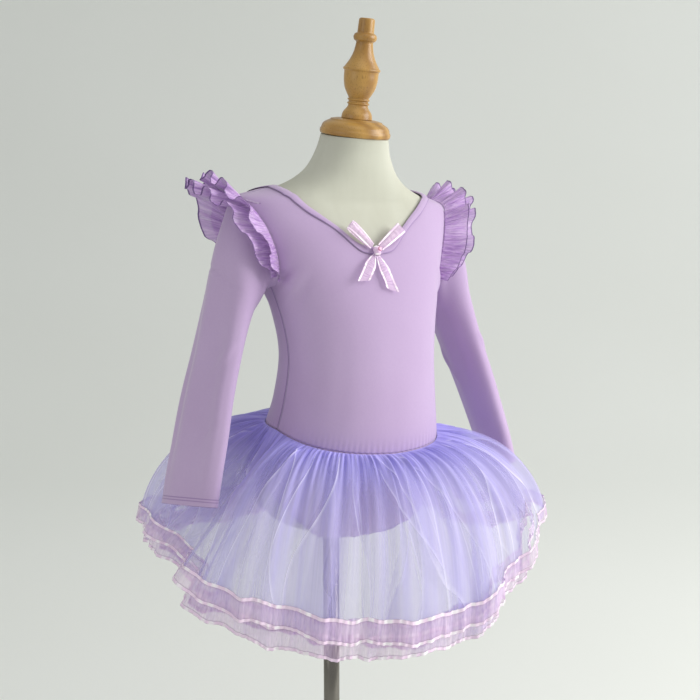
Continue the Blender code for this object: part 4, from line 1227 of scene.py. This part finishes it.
def make_bow():
    centre, across, up, out = bow_frame()
    half = BOW_RIBBON / 2

    def placed(angle, local):
        way = math.radians(angle)
        along = math.cos(way) * across + math.sin(way) * up
        aside = -math.sin(way) * across + math.cos(way) * up
        return centre + local[..., :1] * along + local[..., 1:2] * aside + local[..., 2:] * out

    columns = 17
    edge = np.linspace(-1, 1, columns)[:, None]
    for loop in BOW_LOOPS:
        turn = full_turn(96)[None, :]
        reach = BOW_LOOP_START + (loop.length - BOW_LOOP_START) * (0.5 - 0.5 * np.cos(turn))
        swell = 0.35 + 0.65 * np.sin(turn / 2) ** 1.5
        ripple = 0.0007 * np.sin(edge * 3.0 + 1.5) * np.sin(turn) + 0.0005 * np.sin(edge * 7.0) * (1 - swell)
        level = BOW_SEAT + BOW_LOOP_MIDDLE + BOW_LOOP_RISE * np.sin(turn) * swell + ripple
        local = np.stack(np.broadcast_arrays(reach, edge * half * (0.40 + 0.60 * swell), level), axis=-1)
        cloth_piece(loop.name + "_ribbon", placed(loop.angle, local), MATERIAL["bow_ribbon"], closed=True,
                    flip=True, replaces=(loop.name,))
    for tail in BOW_TAILS:
        share = np.linspace(0, 1, 49)[:, None]
        step = np.linspace(1, -1, columns)[None, :]
        spread = half * (0.16 + 0.84 * np.minimum(share / 0.4, 1.0) ** 0.8)
        slant = tail.slant * 0.5 * step * np.clip((share - 0.65) / 0.35, 0, 1)
        reach = BOW_TAIL_START + (tail.length - BOW_TAIL_START) * share + slant
        level = BOW_SEAT + 0.0016 * (1 - share) ** 3 + 0.0018 * np.sin(math.pi * share)
        level = level + 0.0007 * np.sin(5.0 * share + 2.2 * step) * share
        local = np.stack(np.broadcast_arrays(reach, spread * step, level), axis=-1)
        grid = placed(tail.angle, local)
        cloth_piece(tail.name + "_ribbon", np.swapaxes(grid, 0, 1), MATERIAL["bow_ribbon"], flip=True,
                    replaces=(tail.name,))
    make_knot_and_stone(centre, across, up, out)


def make_knot_and_stone(centre, across, up, out):
    turn = full_turn(64)[None, :]
    rise = np.linspace(-1, 1, 25)[:, None]
    belly = np.sqrt(1 - (0.82 * rise) ** 2)
    crease = 1 + 0.07 * np.sin(rise * 9.0 + 1.2 * np.sin(turn * 2))
    wide = 0.0044 * np.cos(turn) * belly * crease
    deep = 0.0024 * np.sin(turn) * belly * crease
    middle = centre + out * (BOW_SEAT + BOW_KNOT_OUT)
    local = middle + wide[..., None] * across + deep[..., None] * out + (0.0049 * rise)[..., None] * up
    cloth_piece("bow_knot_wrap", local, MATERIAL["bow_knot"], closed=True, flip=True,
                replaces=("bow_knot",))
    profile = [(0.0, 0.0012), (0.0016, 0.0012), (0.0026, 0.0002), (0.0026, -0.0002), (0.0012, -0.0016),
               (0.0, -0.0022)]
    axes = Matrix((Vector(across), Vector(up), Vector(out))).transposed().to_4x4()
    place = Matrix.Translation(Vector(centre + out * (BOW_SEAT + BOW_STONE_OUT))) @ axes
    stone = turned_piece("bow_stone_cut", profile, MATERIAL["stone"], ("bow_stone",), LEAN @ place,
                         STONE_SIDES)
    for polygon in stone.data.polygons:
        polygon.use_smooth = False


def make_form():
    """The padded torso and neck under its cover, with its top tilted for the cap."""
    place = np.concatenate((np.linspace(0, 2, 16)[:-1], np.linspace(2, LAST_PLACE, 130)))
    angle = full_turn(144)
    inset = np.interp(place, FORM_INSET_PLACES, (FORM_INSET, NECK_INSET))
    places, angles = np.meshgrid(place, angle, indexing="ij")
    wrinkle = crease_push(FORM_WRINKLES, places, angles)
    grid = body_points(places, angles, wrinkle - inset[:, None])
    grid[0, :, 2] = FORM_UNDERSIDE
    neck_y = grid[-1, :, 1].mean()
    share = np.clip((place - (LAST_PLACE - 2.0)) / 2.0, 0, 1)[:, None]
    grid[..., 2] += share ** 2 * math.tan(HEAD_TILT) * (grid[..., 1] - neck_y)
    rim = grid[-1]
    top = [rim.mean(0) + size * (rim - rim.mean(0)) for size in (0.97, 0.6, 0.02)]
    foot = [grid[0].mean(0) + size * (grid[0] - grid[0].mean(0)) for size in (0.02, 0.5, 0.9)]
    grid = np.concatenate((np.array(foot), grid, np.array(top)))
    cloth_piece("form_torso_cover", grid, MATERIAL["form"], closed=True,
                replaces=("form_torso",))
    return neck_y


def make_head(neck_y):
    seat = Vector((0.0, neck_y, BODY[-1].height + SEAM_GAP))
    place = LEAN @ Matrix.Translation(seat) @ Matrix.Rotation(HEAD_TILT, 4, "X")
    cap = [(0.0, CAP_HEIGHT), (0.0190, CAP_HEIGHT), (0.0235, 0.0169), (0.0270, 0.0160), (0.0276, 0.0150),
           (0.0328, 0.0122), (0.0352, 0.0096), (0.0360, 0.0070), (0.0364, 0.0060), (CAP_RADIUS, 0.0045),
           (CAP_RADIUS, 0.0022), (CAP_RADIUS - 0.0008, 0.0004), (CAP_RADIUS - 0.0020, 0.0), (0.0, 0.0)]
    turned_piece("neck_cap_turned", smooth_profile(cap, 4, (1, 3, 4, 7, 8, 12)), MATERIAL["wood"],
                 ("neck_cap",), place)
    foot = CAP_HEIGHT + SEAM_GAP
    finial = [(0.0, 0.1200), (0.0062, 0.1199), (0.0070, 0.1196), (0.0078, 0.1188), (0.0082, 0.1180),
              (0.0085, 0.1110), (0.0086, 0.1055), (0.0092, 0.1048), (0.0112, 0.1035), (0.0122, 0.1005),
              (0.0112, 0.0975), (0.0092, 0.0962), (0.0088, 0.0950), (0.0095, 0.0900), (0.0106, 0.0850),
              (0.0134, 0.0780), (0.0170, 0.0720), (0.0184, 0.0698), (0.0192, 0.0692), (0.0195, 0.0682),
              (0.0192, 0.0672), (0.0182, 0.0664), (0.0180, 0.0640), (0.0177, 0.0570), (0.0160, 0.0490),
              (0.0130, 0.0430), (0.0104, 0.0385), (0.0112, 0.0382), (0.0117, 0.0374), (0.0112, 0.0365),
              (0.0104, 0.0362), (0.0104, 0.0345), (0.0112, 0.0342), (0.0117, 0.0334), (0.0112, 0.0326),
              (0.0105, 0.0322), (0.0108, 0.0300), (0.0122, 0.0278), (0.0142, 0.0252), (0.0156, 0.0225),
              (0.0160, 0.0205), (0.0162, foot), (0.0, foot)]
    turned_piece("neck_finial_turned", smooth_profile(finial, 4, (1, 6, 12, 17, 21, 26, 30, 31, 35, 41)),
                 MATERIAL["wood"], ("neck_finial",), place)


def make_stand():
    base = [(0.0, BASE_RISE), (0.018, BASE_RISE), (0.0210, BASE_RISE - 0.0003), (0.024, BASE_RISE - 0.0015),
            (0.080, BASE_RISE - 0.0028), (BASE_RADIUS - 0.004, BASE_EDGE + 0.0008),
            (BASE_RADIUS - 0.001, BASE_EDGE - 0.0005), (BASE_RADIUS, BASE_EDGE - 0.002), (BASE_RADIUS, 0.0),
            (0.0, 0.0)]
    turned_piece("base_plate_chromed", base, MATERIAL["chrome"], ("base_plate",), Matrix(), 160)
    collar_top = FORM_UNDERSIDE - SEAM_GAP
    collar_bottom = collar_top - COLLAR_HEIGHT
    pole_top = collar_bottom - SEAM_GAP - POLE_RADIUS * math.sin(LEAN_ANGLE)
    foot = BASE_RISE + SEAM_GAP
    pole = [(0.0, pole_top), (POLE_RADIUS, pole_top), (POLE_RADIUS, 0.25), (POLE_RADIUS, foot), (0.0, foot)]
    turned_piece("pole_chromed", pole, MATERIAL["chrome"], ("pole",), Matrix(), 64)
    collar = [(0.0, collar_top), (COLLAR_RADIUS, collar_top), (COLLAR_RADIUS, collar_bottom + 0.0012),
              (COLLAR_RADIUS - 0.0012, collar_bottom), (0.0, collar_bottom)]
    turned_piece("pole_collar_chromed", collar, MATERIAL["chrome"], ("pole_collar",), LEAN, 64)


def room_turn():
    """The turn that sets the room and its lights square to the camera."""
    return Matrix.Rotation(CAMERA_TURN, 3, "Z")


def make_room():
    """A pale floor that sweeps up into a pale wall well behind the form."""
    profile = [(-FLOOR_AHEAD, 0.0)]
    for step in range(25):
        turn = step * math.pi / 48
        along = WALL_AWAY - WALL_SWEEP + WALL_SWEEP * math.sin(turn)
        profile.append((along, WALL_SWEEP - WALL_SWEEP * math.cos(turn)))
    profile.append((WALL_AWAY, WALL_TOP))
    shape = bmesh.new()
    bmesh.ops.create_grid(shape, x_segments=1, y_segments=len(profile) - 1, size=0.5)
    for vertex in shape.verts:
        along, height = profile[round((vertex.co.y + 0.5) * (len(profile) - 1))]
        vertex.co = room_turn() @ Vector((2 * ROOM_HALF * vertex.co.x, along, height))
    mesh = smooth_mesh("room", shape)
    mesh.materials.append(wall_material())
    room = add_object("room", mesh)


def camera_back():
    return Vector((
        math.sin(CAMERA_TURN) * math.cos(CAMERA_PITCH), -math.cos(CAMERA_TURN) * math.cos(CAMERA_PITCH),
        math.sin(CAMERA_PITCH),
    ))


def make_camera():
    data = bpy.data.cameras.new("camera")
    data.lens = CAMERA_LENS
    data.sensor_width = 36.0
    camera = add_object("camera", data)
    right = Vector((math.cos(CAMERA_TURN), math.sin(CAMERA_TURN), 0.0))
    aim = Vector((0.0, 0.0, CAMERA_AIM_HEIGHT)) + right * CAMERA_ASIDE
    camera.location = aim + camera_back() * CAMERA_DISTANCE
    camera.rotation_euler = (-camera_back()).to_track_quat("-Z", "Y").to_euler()
    bpy.context.scene.camera = camera


def add_light(name, place, aim, size, power, tint):
    """An area light at a place of the room, as across, away and up from the foot of the stand."""
    data = bpy.data.lights.new(name, "AREA")
    data.shape = "RECTANGLE"
    data.size, data.size_y = size
    data.energy = power
    data.color = tint
    light = add_object(name, data)
    light.location = room_turn() @ Vector(place)
    way = room_turn() @ (Vector(aim) - Vector(place))
    light.rotation_euler = way.to_track_quat("-Z", "Y").to_euler()


def make_lights():
    world = bpy.data.worlds.new("soft_room")
    bpy.context.scene.world = world
    world.use_nodes = True
    world.node_tree.nodes["Background"].inputs["Color"].default_value = (0.95, 0.97, 0.96, 1.0)
    world.node_tree.nodes["Background"].inputs["Strength"].default_value = 0.52
    chest = (0.0, 0.0, 0.70)
    add_light("window", (1.85, -0.32, 1.35), chest, (1.2, 1.5), 31.0, (1.0, 0.985, 0.97))
    add_light("room_fill", (-1.9, -1.7, 1.3), chest, (1.6, 1.6), 7.0, (0.97, 0.98, 1.0))
    add_light("ceiling", (0.2, -0.9, 2.9), chest, (1.8, 1.8), 6.0, (1.0, 1.0, 1.0))
    add_light("wall_wash", (3.4, 1.2, 2.6), (1.2, 3.4, 0.5), (2.0, 2.0), 42.0, (1.0, 1.0, 1.0))


MATERIAL = {
    "form": form_material(),
    "wood": wood_material(),
    "chrome": chrome_material(),
    "stone": stone_material(),
    "thread": thread_material(),
    "ruffle": ruffle_material(),
    "hem_ribbon": ribbon_material("hem_ribbon_organza", edge=0.15, sheer=0.44, gathers=420.0),
    "bow_ribbon": ribbon_material("bow_ribbon_organza", edge=0.17, sheer=0.55, gathers=26.0),
    "bow_knot": ribbon_material("bow_knot_organza", edge=0.17, sheer=0.95, gathers=14.0),
}

make_camera()
make_room()
make_lights()
make_stand()
make_head(make_form())
make_bodice()
make_binding()
make_brief()
stitch_lines = make_sleeves() + [neck_stitch_line()]
make_stitches("machine_stitches", stitch_lines)
make_ruffles()
make_skirt()
make_bow()
bpy.context.scene.cycles.transparent_max_bounces = 40
bpy.context.scene.view_settings.view_transform = "Standard"
